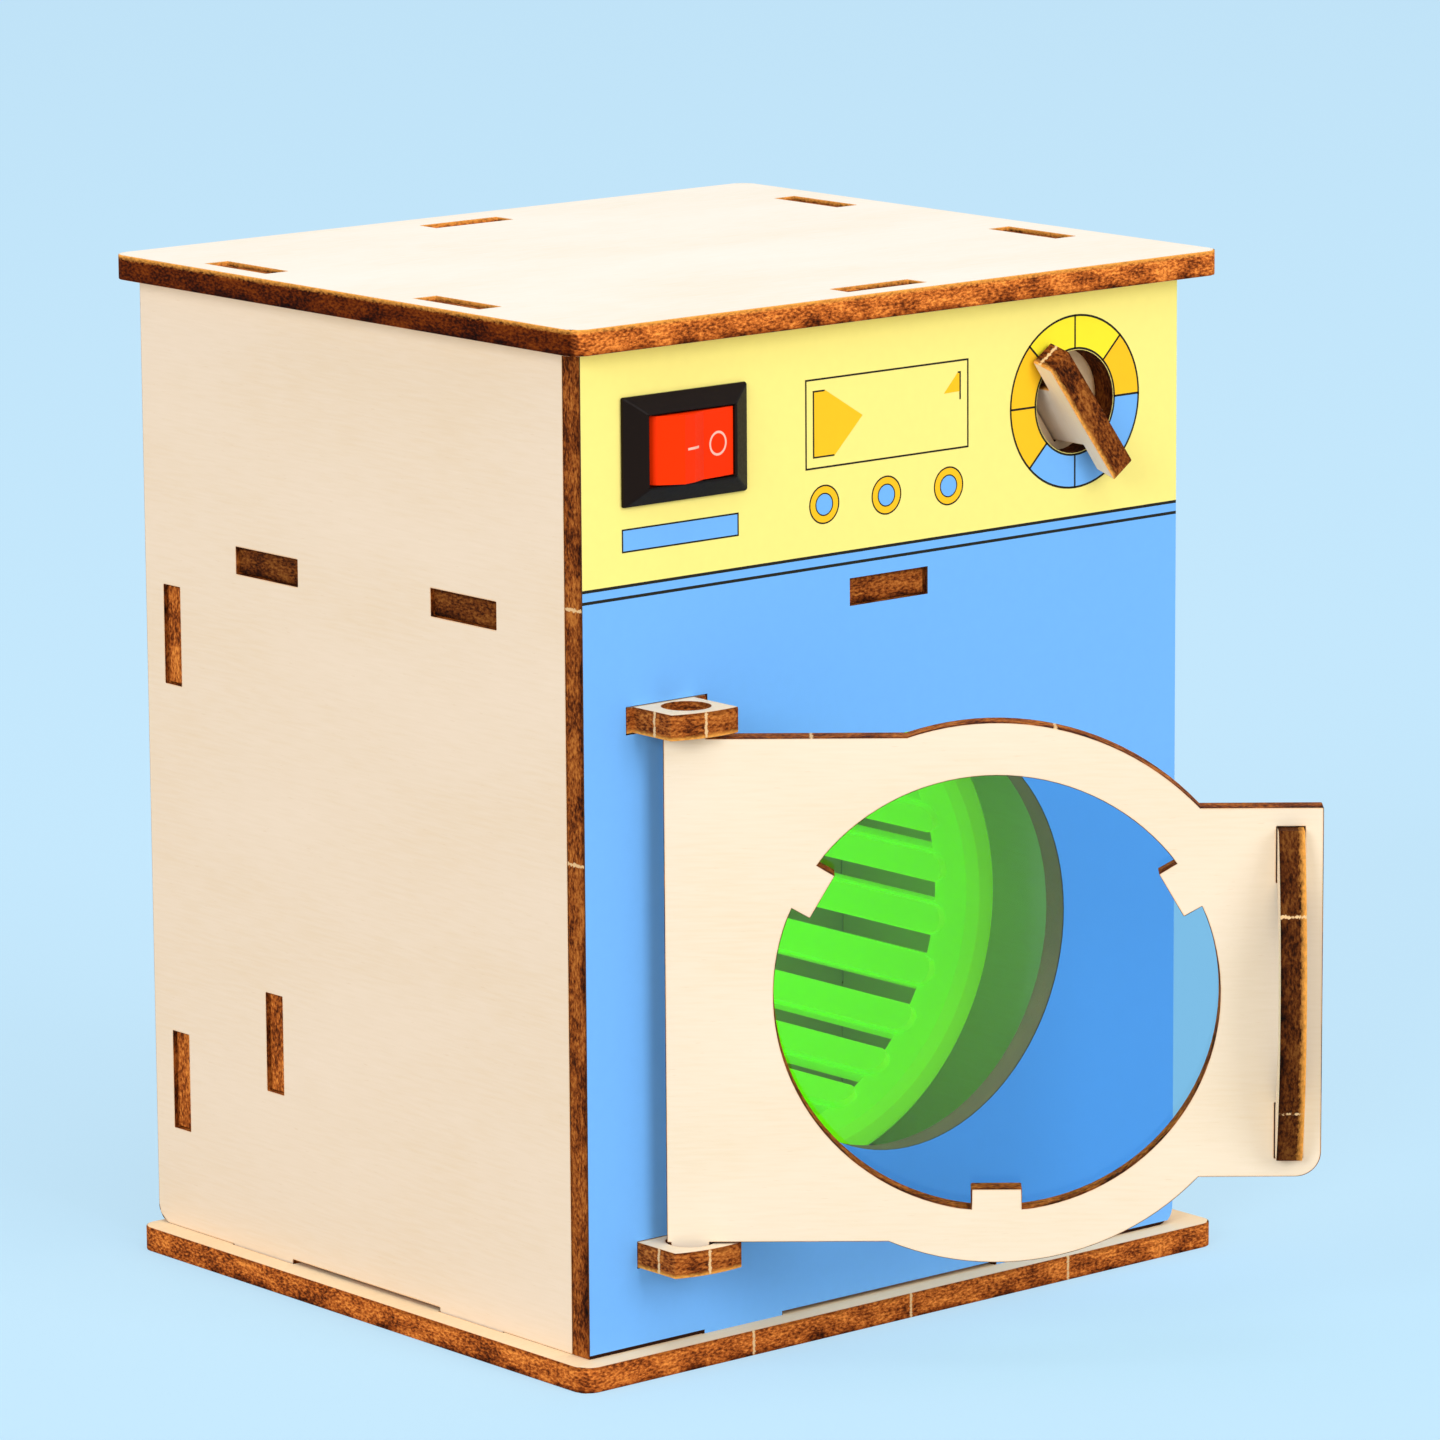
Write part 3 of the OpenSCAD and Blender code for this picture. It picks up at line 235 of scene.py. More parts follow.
def tinted(colour, red, green, blue):
    """A colour with its red, green and blue scaled, and no brighter than full."""
    return tuple(min(1.0, c * k) for c, k in zip(colour, (red, green, blue, 1)))


def veneer_face(look, run, across, plain):
    """The colour of the pale faces: soft tones, short fibres and a few flecks; and the fibres."""
    fibres = look.noise(look.vector(look.scaled(run, 260), look.scaled(across, 3000)), detail=3)
    tones = look.noise(look.vector(look.scaled(run, 22), look.scaled(across, 60)), detail=3)
    tone = look.math("ADD", look.scaled(fibres, 0.4), look.scaled(tones, 0.6))
    face = look.ramp(tone, [(0.3, tinted(plain, 0.965, 0.935, 0.87)), (0.5, plain),
                            (0.68, tinted(plain, 1.03, 1.04, 1.07))])
    flecks = look.noise(look.vector(look.scaled(run, 700), look.scaled(across, 5200)), detail=1)
    face = look.mix(look.remap(flecks, 0.7, 0.8, 0, 0.35), face, tinted(plain, 0.86, 0.78, 0.66))
    return face, fibres


def burnt_edge(look, run, across, depth, burn):
    """The colour of the cut edges: charred speckle over drifting plies; and the speckle."""
    flow = look.vector(look.scaled(run, 0.45), look.scaled(across, 0.45), look.scaled(depth, 0.0024))
    speckle = look.noise(flow, scale=4600, detail=4, roughness=0.6)
    patches = look.noise(flow, scale=620, detail=3)
    drift = look.scaled(look.math("SUBTRACT", patches, 0.5), 0.7)
    char = look.math("ADD", look.scaled(speckle, 0.62), look.scaled(patches, 0.38))
    edge = look.ramp(char, [(0.34, BURNT["deep"]), (0.43, BURNT["dark"]), (0.51, BURNT["plain"]),
                            (0.63, BURNT["light"])])
    edge = look.mix(1.0, edge, look.ramp(look.math("ADD", depth, drift), PLIES), "MULTIPLY")
    edge = look.mix(1.0, edge, (burn, burn, burn, 1), "MULTIPLY")
    return edge, speckle


def ragged(look, measure, speckle, spread):
    """A measure made uneven by the speckle, so that what ends at it has a ragged line."""
    return look.math("ADD", measure, look.scaled(look.math("SUBTRACT", speckle, 0.5), spread))


def lit_rim(look, edge, depth, speckle, side, reach):
    """A painted highlight: a ragged bright rim along one side of the edge, as deep as the share
    reach of the sheet.
    """
    from_rim = ragged(look, depth, speckle, 0.3)
    if side:
        from_rim = look.math("SUBTRACT", 1.0, from_rim)
    return look.mix(look.remap(from_rim, reach, 0), edge, BURNT["lit"])


def torn_mark(look, edge, flat, spot, speckle):
    """A ragged stripe of pale torn wood across the edge at a spot of the sheet."""
    away = ragged(look, look.distance(flat, spot), speckle, 0.7 * MM)
    return look.mix(look.remap(away, 0.18 * MM, 0.1 * MM), edge, BURNT["torn"])


def near(look, where, middle, reach, share=1.0):
    """The share within reach of a point, fading out over the next millimetre."""
    return look.remap(look.distance(where, middle), reach + MM, reach, 0, share)


def cut_nearby(look):
    """How strongly a point of a face is scorched by the cut beside it."""
    fringe = 0.3 * MM
    rounded = look.node("Bevel", {"Radius": fringe}, samples=6).outputs[0]
    straight = look.node("NewGeometry", {}).outputs["Normal"]
    return look.remap(look.along(rounded, straight), 0.992, 0.9, 0, 0.85)


def plywood(name, across_sheet, grain, low, veneer, marks=(), burn=1.0, darker_facing=None, pit=None,
            brightened_opening=None, shaded_below=None, lit=None, scorch="scorch", thick=PLY):
    """Pale birch faces square to across_sheet, and laser-burnt edges that show the plies.

    low is how far the sheet's first face lies along across_sheet. marks are the points where a
    small bridge held the piece in its sheet and left torn pale wood in the burnt edge. burn is how
    much light the edges keep. darker_facing is an axis and the tone that darkens the edges which face
    along it. Painted shade: the edges of the hole round the point pit are darker. Painted light: the
    edges of the wide opening round brightened_opening are paler. Painted shade: faces are deep brown
    below the height shaded_below. lit is the side, 0 or 1 through the sheet, of a painted highlight:
    a ragged bright rim along the edge, and the share of the thickness that the rim takes.
    """
    look = Look(name, {"Specular IOR Level": 0.06})
    where = look.place()
    side_grain = across_sheet.cross(grain)
    depth = look.math("DIVIDE", look.math("SUBTRACT", look.along(where, across_sheet), low), thick)
    run = look.along(where, grain)
    across = look.along(where, side_grain)

    edge, speckle = burnt_edge(look, run, across, depth, burn)
    # The edges that face along the axis are darker by the tone.
    if darker_facing:
        axis, tone = darker_facing
        turned = look.math("ABSOLUTE", look.along(look.normal(), axis))
        edge = look.mix(look.remap(turned, 0.6, 0.9), edge, tone, "MULTIPLY")
    # Painted highlight: a bright rim along one side of the edge.
    if lit:
        side, reach = lit
        edge = lit_rim(look, edge, depth, speckle, side, reach)
    # Painted shade: the edges of the knob's hole are darkened.
    if pit:
        edge = look.mix(near(look, where, pit, 6 * MM), edge, PIT_TONE, "MULTIPLY")
    # Painted light: the cut wall of the drum's opening is paler.
    if brightened_opening:
        edge = look.mix(near(look, where, brightened_opening, 26 * MM, 0.8), edge, BURNT["opening_light"])
    for mark in marks:
        spot = Vector((mark.dot(grain), mark.dot(side_grain), 0))
        edge = torn_mark(look, edge, look.vector(run, across), spot, speckle)

    face, fibres = veneer_face(look, run, across, VENEER[veneer])
    face = look.mix(cut_nearby(look), face, BURNT[scorch])
    # Painted shade: the face below the height is deep brown, as in the gap under the sheet.
    if shaded_below:
        height = look.split(where)[2]
        face = look.mix(look.remap(height, shaded_below, shaded_below - 0.2 * MM), face, BURNT["deep"])

    facing = look.math("ABSOLUTE", look.along(look.normal(), across_sheet))
    is_face = look.remap(facing, 0.86, 0.95)
    look.set(look.shader, {"Base Color": look.mix(is_face, edge, face),
                           "Roughness": look.remap(is_face, 0, 1, 0.8, 0.62)})
    rough_edge = look.math("MULTIPLY", speckle, look.math("SUBTRACT", 1.0, is_face))
    relief = look.math("ADD", look.scaled(fibres, 0.06), rough_edge)
    look.bump(relief, 0.08 * MM, 0.5)
    return look.material


def round_edges(name, width, segments, sharper_than):
    """Joins a node's faces at their corners and rounds the edges sharper than an angle in degrees."""
    piece = NODES[name]
    weld = piece.modifiers.new("weld", "WELD")
    weld.merge_threshold = 1e-6
    bevel = piece.modifiers.new("bevel", "BEVEL")
    bevel.width = width
    bevel.segments = segments
    bevel.limit_method = "ANGLE"
    bevel.angle_limit = math.radians(sharper_than)
    return bevel


def burn_edges(name):
    """Takes the sharpness off a sheet's cut edges and keeps its faces flat to the light."""
    bevel = round_edges(name, 0.12 * MM, 2, 35)
    bevel.use_clamp_overlap = False
    flat = NODES[name].modifiers.new("flat", "WEIGHTED_NORMAL")
    flat.weight = 100


def paint(name, material):
    """Gives a CAD node its look."""
    for slot in NODES[name].material_slots:
        slot.material = material


def door_point(u, z, v=0.0):
    """A point of the door as it stands open: u along it from the hinge, v behind its middle."""
    return Vector((HINGE.x, HINGE.y, z)) + DOOR_U * u + DOOR_BACK * v


def paint_plywood():
    """Every plywood node: across its sheet, along its grain, where it starts, and its looks."""
    base_marks = [Vector((x * MM, base_low.y, 0)) for x in (-19.6, 0.6, 21.5)]
    front_marks = [Vector((LEFT, 0, z * MM)) for z in (74.6, 50.3)]
    door_marks = [door_point(u * MM, z * MM) for u, z in ((11.7, 61.95), (34.6, 62.76))]
    handle_marks = [door_point(HANDLE_U, z * MM, v * MM) for z, v in ((45.6, -6.0), (26.4, -5.45))]
    bracket_marks = [Vector((x * MM, y * MM, 0)) for x, y in ((-32.0, -36.5), (-28.5, -39.9))]
    knob_mark = KNOB + KNOB_UP * 6.9 * MM
    knob_mark.y = FACE_Y - 1.2 * MM
    drum_low, drum_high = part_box("drum")
    opening = (drum_low + drum_high) / 2
    opening.y = FACE_Y

    def starts(name, axis):
        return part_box(name)[0].dot(axis)
    sheets = [
        ("base_panel", Z, X, base_low.z, "bright", {"marks": base_marks, "burn": 1.5}),
        ("lid_panel", Z, X, lid_low.z, "white",
         {"burn": 1.75, "darker_facing": (X, BLACK_TONE), "lit": (1, 0.2)}),
        ("shelf_panel", Z, X, starts("shelf_panel", Z), "plain", {"darker_facing": (X, HALF_TONE)}),
        ("left_side_panel", X, Y, starts("left_side_panel", X), "warm", {}),
        ("right_side_panel", X, Y, starts("right_side_panel", X), "warm", {}),
        # Painted shade: in the gap under the sheet, the front panel's face is dark by its cuts and deep
        # brown near its lower edge.
        ("front_panel", Y, X, starts("front_panel", Y), "plain",
         {"marks": front_marks, "burn": 0.85, "pit": DIAL, "brightened_opening": opening, "scorch": "dark",
          "shaded_below": FLOOR_Z + 1.2 * MM}),
        ("rear_panel", Y, X, starts("rear_panel", Y), "warm", {"burn": 1.35}),
        ("motor_plate", Y, X, starts("motor_plate", Y), "plain", {"burn": 1.35}),
        ("upper_hinge_bracket", Z, X, starts("upper_hinge_bracket", Z), "plain",
         {"marks": bracket_marks, "lit": (0, 0.18)}),
        ("lower_hinge_bracket", Z, X, starts("lower_hinge_bracket", Z), "plain",
         {"marks": bracket_marks, "lit": (0, 0.18)}),
        ("door_panel", DOOR_BACK, DOOR_U, HINGE.dot(DOOR_BACK) - PLY / 2, "cream", {"marks": door_marks}),
        ("door_handle", DOOR_U, Z, door_point(HANDLE_U, 0).dot(DOOR_U) - PLY / 2, "plain",
         {"marks": handle_marks, "burn": 0.28, "lit": (1, 0.27)}),
        ("knob_disc", Y, X, starts("knob_disc", Y), "bright", {}),
        ("knob_handle", KNOB_SIDE, KNOB_UP, KNOB.dot(KNOB_SIDE) - GRIP_T / 2, "warm",
         {"marks": [knob_mark], "thick": GRIP_T, "burn": 0.65, "lit": (0, 0.18)}),
    ]
    for name, across_sheet, grain, low, veneer, extras in sheets:
        paint(name, plywood("plywood." + name, across_sheet, grain, low, veneer, **extras))
        burn_edges(name)


# ---- Print on the front ----

PRINT = {
    "blue": rgb(116, 184, 255),
    "yellow": rgb(255, 241, 138),
    "gold": rgb(255, 200, 34),
    "bright": rgb(255, 238, 50),
    "line": rgb(38, 34, 24),
    "cut": rgb(92, 58, 34),
}

# The two lines across the sheet: how high their middles are, and how wide they are
LINE_HEIGHTS = (76.45 * MM, 75.35 * MM)
LINE_W = 0.3 * MM

# The strokes round the printed shapes, in millimetres
THIN_STROKE, STROKE = 0.16, 0.18


def print_surface(look, colour):
    """Matt coated paper: a faint mottle in the ink and a fine tooth."""
    where = look.place()
    mottle = look.noise(where, scale=900, detail=3)
    tooth = look.noise(where, scale=5200, detail=2)
    shade = look.ramp(mottle, [(0.3, (0.98, 0.98, 0.98, 1)), (0.7, (1, 1, 1, 1))])
    look.set(look.shader, {"Base Color": look.mix(1.0, colour, shade, "MULTIPLY"), "Roughness": 0.6,
                           "Specular IOR Level": 0.12})
    look.bump(tooth, 0.01 * MM, 0.12)


def sheet_look():
    """The printed sheet: yellow control panel over a blue body, two dark lines between them."""
    look = Look("printed_sheet", {})
    height = look.split(look.place())[2]
    above = look.math("GREATER_THAN", height, max(LINE_HEIGHTS))
    bands = look.mix(above, PRINT["blue"], PRINT["yellow"])
    for line in LINE_HEIGHTS:
        away = look.math("ABSOLUTE", look.math("SUBTRACT", height, line))
        bands = look.mix(look.math("LESS_THAN", away, LINE_W / 2), bands, PRINT["line"])
    facing = look.math("ABSOLUTE", look.along(look.normal(), Y))
    print_surface(look, look.mix(look.remap(facing, 0.5, 0.9), PRINT["cut"], bands))
    return look.material


def ink(name):
    look = Look("ink." + name, {})
    print_surface(look, PRINT[name])
    return look.material


def rectangle(x0, z0, x1, z1):
    return [[(x0, z0), (x1, z0), (x1, z1), (x0, z1)]]


def outline(x0, z0, x1, z1, width):
    """The four strokes of a rectangle's outline, inside its corners."""
    return (rectangle(x0, z0, x1, z0 + width) + rectangle(x0, z1 - width, x1, z1)
            + rectangle(x0, z0 + width, x0 + width, z1 - width)
            + rectangle(x1 - width, z0 + width, x1, z1 - width))


def ring(middle, inner, outer, start=0, end=360):
    """A stretch of a ring between two angles in degrees, anticlockwise from the right."""
    facet = 5
    steps = round((end - start) / facet)
    made = []
    for i in range(steps):
        a, b = (math.radians(start + (end - start) * k / steps) for k in (i, i + 1))
        corners = [(inner, a), (outer, a), (outer, b), (inner, b)]
        made.append([(middle[0] + r * math.cos(t), middle[1] + r * math.sin(t)) for r, t in corners])
    return made


def disc(middle, radius):
    steps = 48
    turns = [2 * math.pi * i / steps for i in range(steps)]
    return [[(middle[0] + radius * math.cos(t), middle[1] + radius * math.sin(t)) for t in turns]]


def spoke(middle, inner, outer, angle, width):
    """A straight stroke out from a middle."""
    a = math.radians(angle)
    out, side = Vector((math.cos(a), math.sin(a))), Vector((-math.sin(a), math.cos(a))) * width / 2
    centre = Vector(middle)
    return [[tuple(p) for p in (centre + out * inner - side, centre + out * outer - side,
                                centre + out * outer + side, centre + out * inner + side)]]


def flat_mesh(name, shapes, to_space, material, body):
    """A thin print: flat polygons placed by to_space(a, b), that rides on a body."""
    points, faces = [], []
    for shape in shapes:
        faces.append(range(len(points), len(points) + len(shape)))
        points += [to_space(a, b) for a, b in shape]
    mesh = bpy.data.meshes.new(name)
    mesh.from_pydata(points, [], [list(face) for face in faces])
    mesh.materials.append(material)
    piece = bpy.data.objects.new(name, mesh)
    bpy.context.scene.collection.objects.link(piece)
    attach(piece, body)


def on_front(lift):
    """Places a drawing in millimetres from the front's left edge and the base's top."""
    return lambda x, z: (LEFT + x * MM, FACE_Y - lift * MM, FLOOR_Z + z * MM)


def bar_shapes():
    """The blue bar under the switch."""
    bar = (4.8, 77.1, 19.1, 79.35)
    return {"blue": rectangle(*bar), "line": outline(*bar, THIN_STROKE)}


def display_shapes():
    """The display's frame, with an arrow at its left and a wedge in its upper right corner."""
    left, right, low, high = 28.4, 47.3, 83.45, 89.95
    arrow_low, arrow_high, arrow_tip = 31.1, 29.9, 34.7
    tip_z = (low + high) / 2 + 0.3
    arrow = [[(left, low), (arrow_low, low), (arrow_tip, tip_z), (arrow_high, high), (left, high)]]
    wedge_left, wedge_low = 46.9, 87.95
    wedge = [[(45.1, wedge_low), (right, wedge_low + 0.05), (right, high), (wedge_left, high - 0.1)]]
    lines = outline(27.45, 82.4, 48.3, 91.1, STROKE)
    lines += rectangle(left, low, left + STROKE, high)
    lines += rectangle(left, low, arrow_low, low + THIN_STROKE)
    lines += rectangle(left, high - THIN_STROKE, arrow_high, high)
    lines += rectangle(right - STROKE, 87.2, right, high)
    lines += rectangle(wedge_left, high - THIN_STROKE, right, high)
    return {"gold": arrow + wedge, "line": lines}


def button_shapes():
    """Three round buttons: a gold ring about a blue middle."""
    outer, inner = 1.9, 1.0
    made = {"gold": [], "blue": [], "line": []}
    for middle in ((29.8, 78.9), (37.7, 78.9), (45.7, 78.9)):
        made["gold"] += ring(middle, inner, outer)
        made["blue"] += disc(middle, inner)
        made["line"] += ring(middle, outer - 0.15, outer) + ring(middle, inner, inner + 0.12)
    return made


def dial_shapes():
    """The dial's eight fields round the knob's hole."""
    middle = ((DIAL.x - LEFT) / MM, (DIAL.z - FLOOR_Z) / MM)
    hole, rim, line = 5.15, 8.6, 0.21
    lines = ring(middle, rim - line, rim) + ring(middle, hole, hole + line)
    for angle in range(0, 360, 45):
        lines += spoke(middle, hole, rim, angle, line)
    return {"gold": ring(middle, hole, rim, 0, 45) + ring(middle, hole, rim, 135, 225),
            "blue": ring(middle, hole, rim, 225, 360),
            "bright": ring(middle, hole, rim, 45, 135),
            "line": lines}


def print_front():
    """The control panel's bar, display, three buttons and dial, one piece for each ink."""
    drawings = (dial_shapes(), bar_shapes(), display_shapes(), button_shapes())
    for name, lift in (("gold", 0.01), ("blue", 0.01), ("bright", 0.01), ("line", 0.02)):
        shapes = [shape for drawing in drawings for shape in drawing.get(name, [])]
        flat_mesh("print_" + name, shapes, on_front(lift), ink(name), "case")


# ---- Plastics ----

def moulded(name, colour, roughness=0.35, soft=0.0, grain=0.02, shine=0.4, glow=0.0):
    """Moulded plastic: its colour drifts a little, with a fine skin and faint flow marks; glow is
    painted light, an emission in its own colour.
    """
    look = Look(name, {"Specular IOR Level": shine, "Subsurface Weight": soft,
                       "Subsurface Radius": (1, 1, 0.6), "Subsurface Scale": 2 * MM,
                       "Emission Color": colour, "Emission Strength": glow})
    where = look.place()
    drift = look.noise(where, scale=90, detail=2)
    skin = look.noise(where, scale=3800, detail=2)
    shade = look.ramp(drift, [(0.3, (0.94, 0.94, 0.94, 1)), (0.7, (1, 1, 1, 1))])
    look.set(look.shader, {"Base Color": look.mix(1.0, colour, shade, "MULTIPLY"),
                           "Roughness": look.remap(skin, 0.3, 0.7, roughness - 0.05, roughness + 0.08)})
    look.bump(skin, grain * MM, 0.3)
    return look.material


def soften(name, width):
    """Rounds a moulded part's edges."""
    bevel = round_edges(name, width, 3, 30)
    bevel.use_clamp_overlap = True
    bevel.harden_normals = True


def paint_plastics():
    black = moulded("black_plastic", rgb(25, 12, 5), 0.4, shine=0.1)
    white = moulded("white_plastic", rgb(238, 236, 228), 0.4, soft=0.1)
    paint("switch_housing", black)
    soften("switch_housing", 0.18 * MM)
    paint("switch_rocker", moulded("red_plastic", rgb(255, 52, 0), 0.4, shine=0.06))
    soften("switch_rocker", 0.2 * MM)
    paint("battery_box", black)
    soften("battery_box", 0.2 * MM)
    # The drum glows a little in its own green: painted light.
    paint("drum", moulded("green_plastic", rgb(176, 255, 20), 0.35, soft=0.4, shine=0.25, glow=0.38))
    for name in ("drum_hub", "front_axle_bush", "rear_axle_bush", "motor_end_cap"):
        paint(name, white)
    orange = moulded("orange_plastic", rgb(238, 120, 30), 0.38, soft=0.1)
    for name in ("drum_pulley", "motor_pulley"):
        paint(name, orange)
    paint("drive_belt", moulded("black_rubber", rgb(30, 30, 31), 0.7, grain=0.05))
    paint("battery_tape", moulded("foam_tape", rgb(240, 238, 230), 0.85, grain=0.12))
    paint("black_battery_wire", moulded("black_insulation", rgb(28, 28, 30), 0.45))
    red = moulded("red_insulation", rgb(205, 24, 20), 0.4)
    for name in ("red_battery_wire", "switch_wire"):
        paint(name, red)


# ---- Metals and cells ----

def metal(name, colour, roughness):
    """Drawn or plated metal with fine lines round the drum's axis and slight tarnish."""
    look = Look(name, {"Metallic": 1})
    where = look.place()
    lines = look.noise(look.vector(look.scaled(look.along(where, Y), 6000), 0.0), detail=3)
    tarnish = look.noise(where, scale=400, detail=4)
    shade = look.ramp(tarnish, [(0.3, (0.8, 0.79, 0.77, 1)), (0.65, (1, 1, 1, 1))])
    look.set(look.shader, {"Base Color": look.mix(1.0, colour, shade, "MULTIPLY"),
                           "Roughness": look.remap(lines, 0.3, 0.7, roughness - 0.06, roughness + 0.1)})
    look.bump(lines, 0.01 * MM, 0.3)
    return look.material


def winding_look():
    """Enamelled copper wire: close turns round the armature, with painted shade in the grooves
    between them.
    """
    look = Look("copper_winding", {"Metallic": 0.85, "Roughness": 0.35})
    where = look.place()
    wire = 0.3 * MM
    turns = look.math("SINE", look.scaled(look.along(where, Y), 2 * math.pi / wire))
    # Painted shade: darker where the turns dip, copper on their crowns.
    colour = look.ramp(look.remap(turns, -1, 1), [(0.0, rgb(96, 40, 16)), (0.6, rgb(200, 104, 52))])
    look.set(look.shader, {"Base Color": colour})
    look.bump(turns, 0.05 * MM, 0.6)
    return look.material


def cell_look(name, node, nub_to_left):
    """A battery: plain wrap in two tones, bare metal at both ends."""
    low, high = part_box(node)
    look = Look(name, {"Roughness": 0.3})
    place = look.split(look.place())
    share = look.remap(place[0], low.x, high.x)
    if not nub_to_left:
        share = look.math("SUBTRACT", 1.0, share)
    wrap_start, wrap_change, wrap_end = 0.03, 0.3, 0.985
    steel, copper, green = rgb(205, 205, 200), rgb(214, 140, 44), rgb(24, 92, 60)
    bands = look.ramp(share, [(0.0, steel), (wrap_start, copper), (wrap_change, green),
                              (wrap_end, steel)], "CONSTANT")
    bare = look.ramp(share, [(0.0, (1, 1, 1, 1)), (wrap_start, (0, 0, 0, 1)),
                             (wrap_end, (1, 1, 1, 1))], "CONSTANT")
    film = look.noise(look.place(), scale=700, detail=2)
    look.set(look.shader, {"Base Color": bands, "Metallic": bare,
                           "Roughness": look.remap(film, 0.3, 0.7, 0.25, 0.38)})
    look.bump(film, 0.02 * MM, 0.3)
    return look.material


def paint_metals():
    steel = metal("plated_steel", rgb(205, 205, 202), 0.3)
    for name in ("drum_axle", "drum_screws", "motor_can", "motor_screws", "motor_shaft",
                 "battery_contacts", "battery_springs"):
        paint(name, steel)
    brass = metal("brass", rgb(214, 170, 84), 0.32)
    for name in ("switch_terminals", "motor_terminals"):
        paint(name, brass)
    paint("motor_magnets", moulded("dark_ferrite", rgb(46, 46, 48), 0.7, grain=0.06))
    paint("motor_armature", winding_look())
    paint("front_battery", cell_look("battery_wrap.front", "front_battery", True))
    paint("rear_battery", cell_look("battery_wrap.rear", "rear_battery", False))


# ---- Tinted film ----

def film_look():
    """Clear film with a blue tint, which lets the lamps' light through."""
    tint = (0.37, 0.65, 0.83, 1)
    look = Look("tinted_film", {"Base Color": tint, "Roughness": 0.02, "IOR": 1.35,
                                "Transmission Weight": 1})
    where = look.place()
    look.bump(look.noise(where, scale=60, detail=2), 0.05 * MM, 0.15)
    clear = look.node("BsdfTransparent", {"Color": (0.95, 0.98, 1, 1)})
    rays = look.node("LightPath", {}).outputs
    lighting = look.math("MAXIMUM", rays["Is Shadow Ray"], rays["Is Diffuse Ray"])
    both = look.node("MixShader", {0: lighting, 1: look.shader.outputs[0], 2: clear.outputs[0]})
    look.set(look.output, {"Surface": both.outputs[0]})
    return look.material


# ---- Marks on the rocker ----

# The rocker's top seen from above, from its crest to its pressed end: how far right of its pivot
# and how far out of it each bend lies when the rocker is level
ROCKER_TOP = [Vector(bend) * MM for bend in ((-2.6, 3.52), (-1.12, 3.47), (0.61, 3.06), (4.59, 3.315))]


def on_rocker(bend):
    """Places a drawing in millimetres on the rocker's face that starts at the given bend."""
    start, end = ROCKER_TOP[bend], ROCKER_TOP[bend + 1]
    ahead = (end - start).normalized()
    out = Vector((-ahead.y, ahead.x)) * 0.02 * MM

    def place(along, up):
        level = start + ahead * along * MM + out
        right = level.x * math.cos(ROCKER_TILT) + level.y * math.sin(ROCKER_TILT)
        reach = level.y * math.cos(ROCKER_TILT) - level.x * math.sin(ROCKER_TILT)
        return PIVOT + Vector((right, -reach, up * MM))
    return place


def mark_rocker():
    """The dash and the ring of an on-off switch; the dash runs over the bend behind the crest."""
    white = moulded("white_mark", rgb(255, 196, 178), 0.5, shine=0.1)
    half = 0.12
    crest_face = (ROCKER_TOP[1] - ROCKER_TOP[0]).length / MM
    for name, bend, shapes in (
            ("mark_dash_a", 0, rectangle(0.4, -half, crest_face, half)),
            ("mark_dash_b", 1, rectangle(0, -half, 0.75, half)),
            ("mark_ring", 2, ring((1.92, -0.05), 0.95, 1.18))):
        flat_mesh(name, shapes, on_rocker(bend), white, "rocker")


# ---- Studio ----

BACKDROP = rgb(197, 233, 255)


def seen_rays(nodes):
    """1 where a surface is seen by the camera, in a reflection or through the film."""
    rays = nodes.node("LightPath", {}).outputs
    seen = nodes.math("MAXIMUM", rays["Is Camera Ray"], rays["Is Glossy Ray"])
    return nodes.math("MAXIMUM", seen, rays["Is Transmission Ray"])


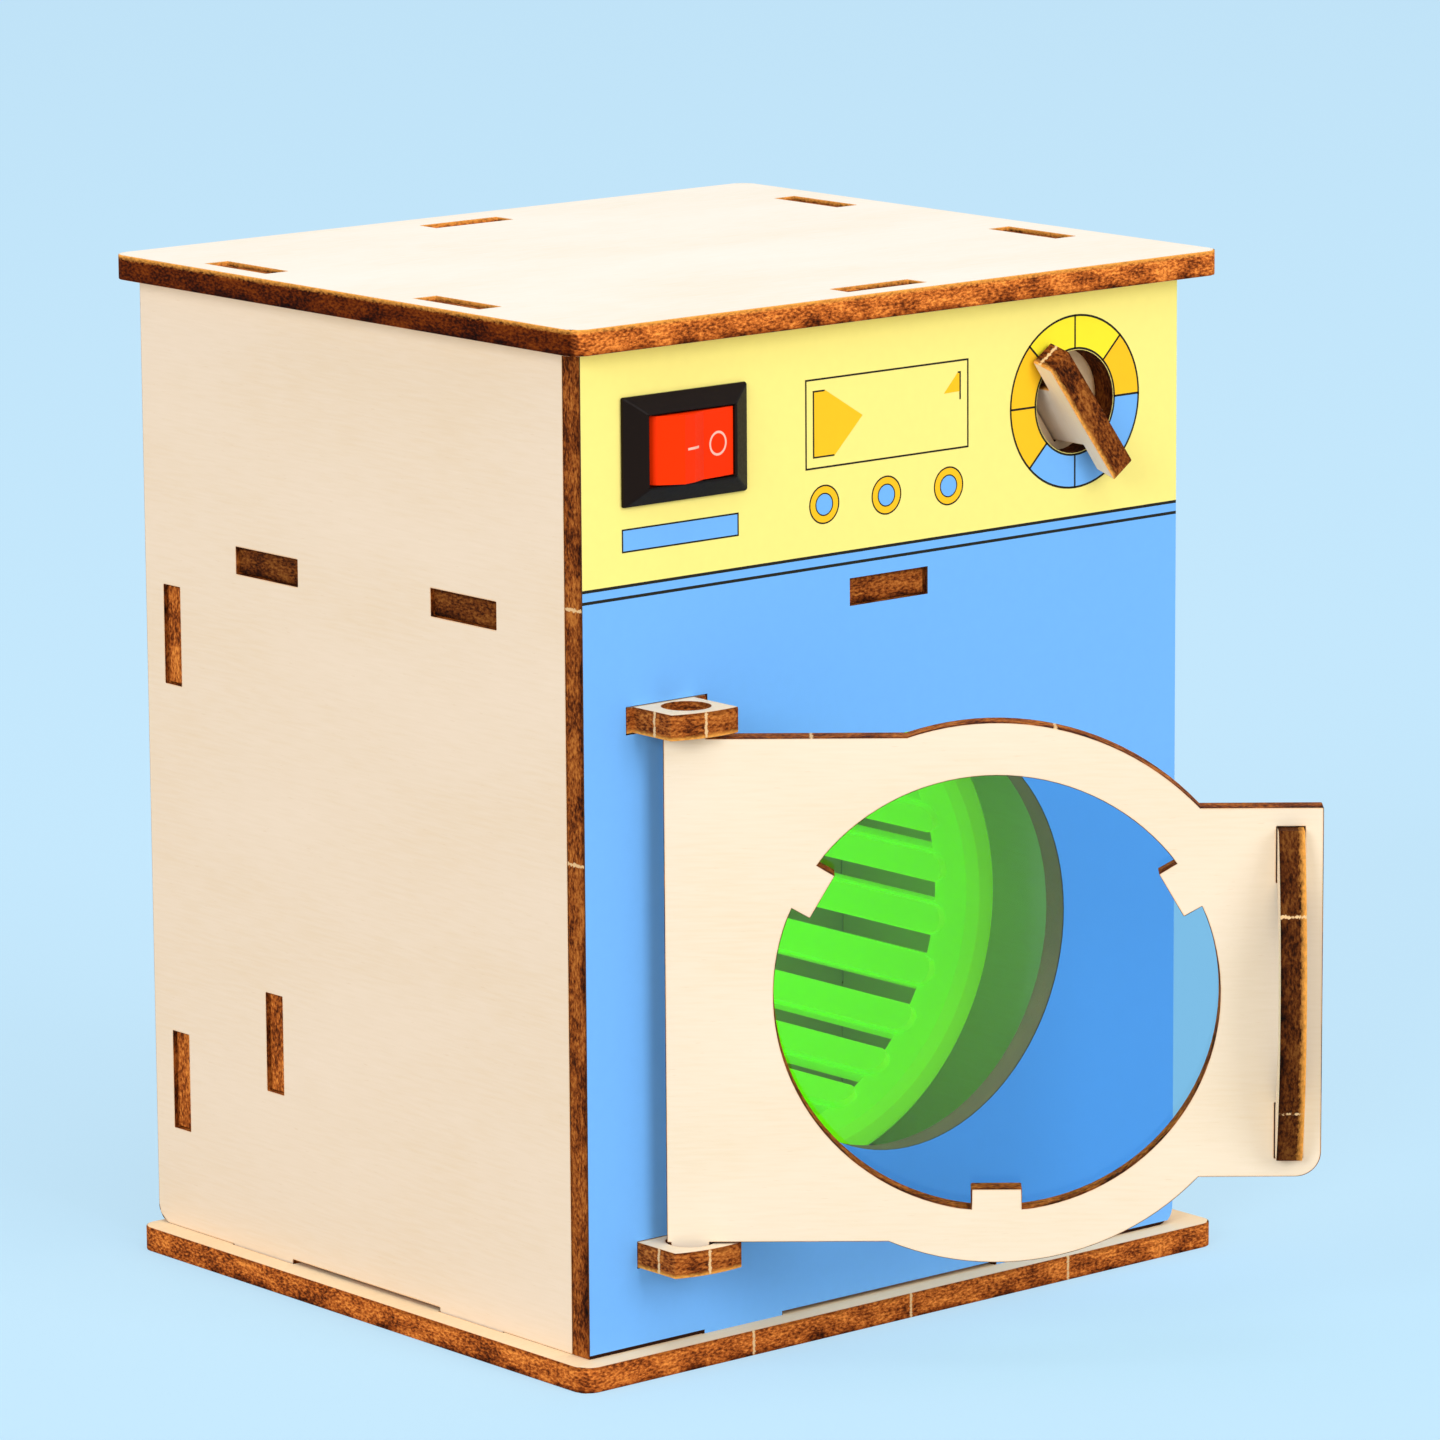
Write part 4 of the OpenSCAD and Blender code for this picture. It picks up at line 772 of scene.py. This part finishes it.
def add_floor():
    """A wide pale floor that keeps the object's soft shadow and meets the backdrop unseen."""
    reach, own_glow = 6, 0.68
    mesh = bpy.data.meshes.new("floor")
    mesh.from_pydata([(-reach, -reach, 0), (reach, -reach, 0), (reach, reach, 0), (-reach, reach, 0)],
                     [], [(0, 1, 2, 3)])
    look = Look("floor", {"Base Color": (0.62, 0.6, 0.57, 1), "Roughness": 1, "Specular IOR Level": 0})
    shaded = look.node("BsdfDiffuse", {"Color": BACKDROP})
    glow = look.node("Emission", {"Color": BACKDROP, "Strength": 1})
    seen = look.node("MixShader", {0: own_glow, 1: shaded.outputs[0], 2: glow.outputs[0]})
    both = look.node("MixShader", {0: seen_rays(look), 1: look.shader.outputs[0], 2: seen.outputs[0]})
    look.set(look.output, {"Surface": both.outputs[0]})
    mesh.materials.append(look.material)
    floor = bpy.data.objects.new("floor", mesh)
    bpy.context.scene.collection.objects.link(floor)


def add_world():
    """Even light from all round, and the pale blue backdrop where it is seen."""
    world = bpy.data.worlds.new("studio")
    world.use_nodes = True
    nodes = Nodes(world.node_tree)
    light = nodes.tree.nodes["Background"]
    nodes.set(light, {"Color": (1.0, 0.985, 0.96, 1), "Strength": 0.66})
    backdrop = nodes.node("Background", {"Color": BACKDROP})
    both = nodes.node("MixShader", {0: seen_rays(nodes), 1: light.outputs[0], 2: backdrop.outputs[0]})
    nodes.set(nodes.tree.nodes["World Output"], {"Surface": both.outputs[0]})
    bpy.context.scene.world = world


def add_lamp(name, place, size, power, colour=(1, 1, 1)):
    """A soft square lamp that points at the object's middle."""
    middle = Vector((0, 0, 0.05))
    data = bpy.data.lights.new(name, "AREA")
    data.size = size
    data.energy = power
    data.color = colour
    lamp = bpy.data.objects.new(name, data)
    lamp.location = place
    lamp.rotation_euler = (middle - Vector(place)).to_track_quat("-Z", "Y").to_euler()
    bpy.context.scene.collection.objects.link(lamp)


def light_studio():
    add_floor()
    add_world()
    add_lamp("top", (-0.3, -0.9, 2.3), 1.2, 8.5, (1, 0.985, 0.965))
    add_lamp("front", (0.25, -2.5, 1.25), 1.5, 27)
    add_lamp("left", (-2.4, -1.0, 1.1), 1.0, 28.5)


add_camera()
light_studio()
paint_plywood()
paint("front_sheet", sheet_look())
print_front()
paint_plastics()
mark_rocker()
paint_metals()
paint("door_window", film_look())

bpy.context.scene.view_settings.view_transform = "Standard"
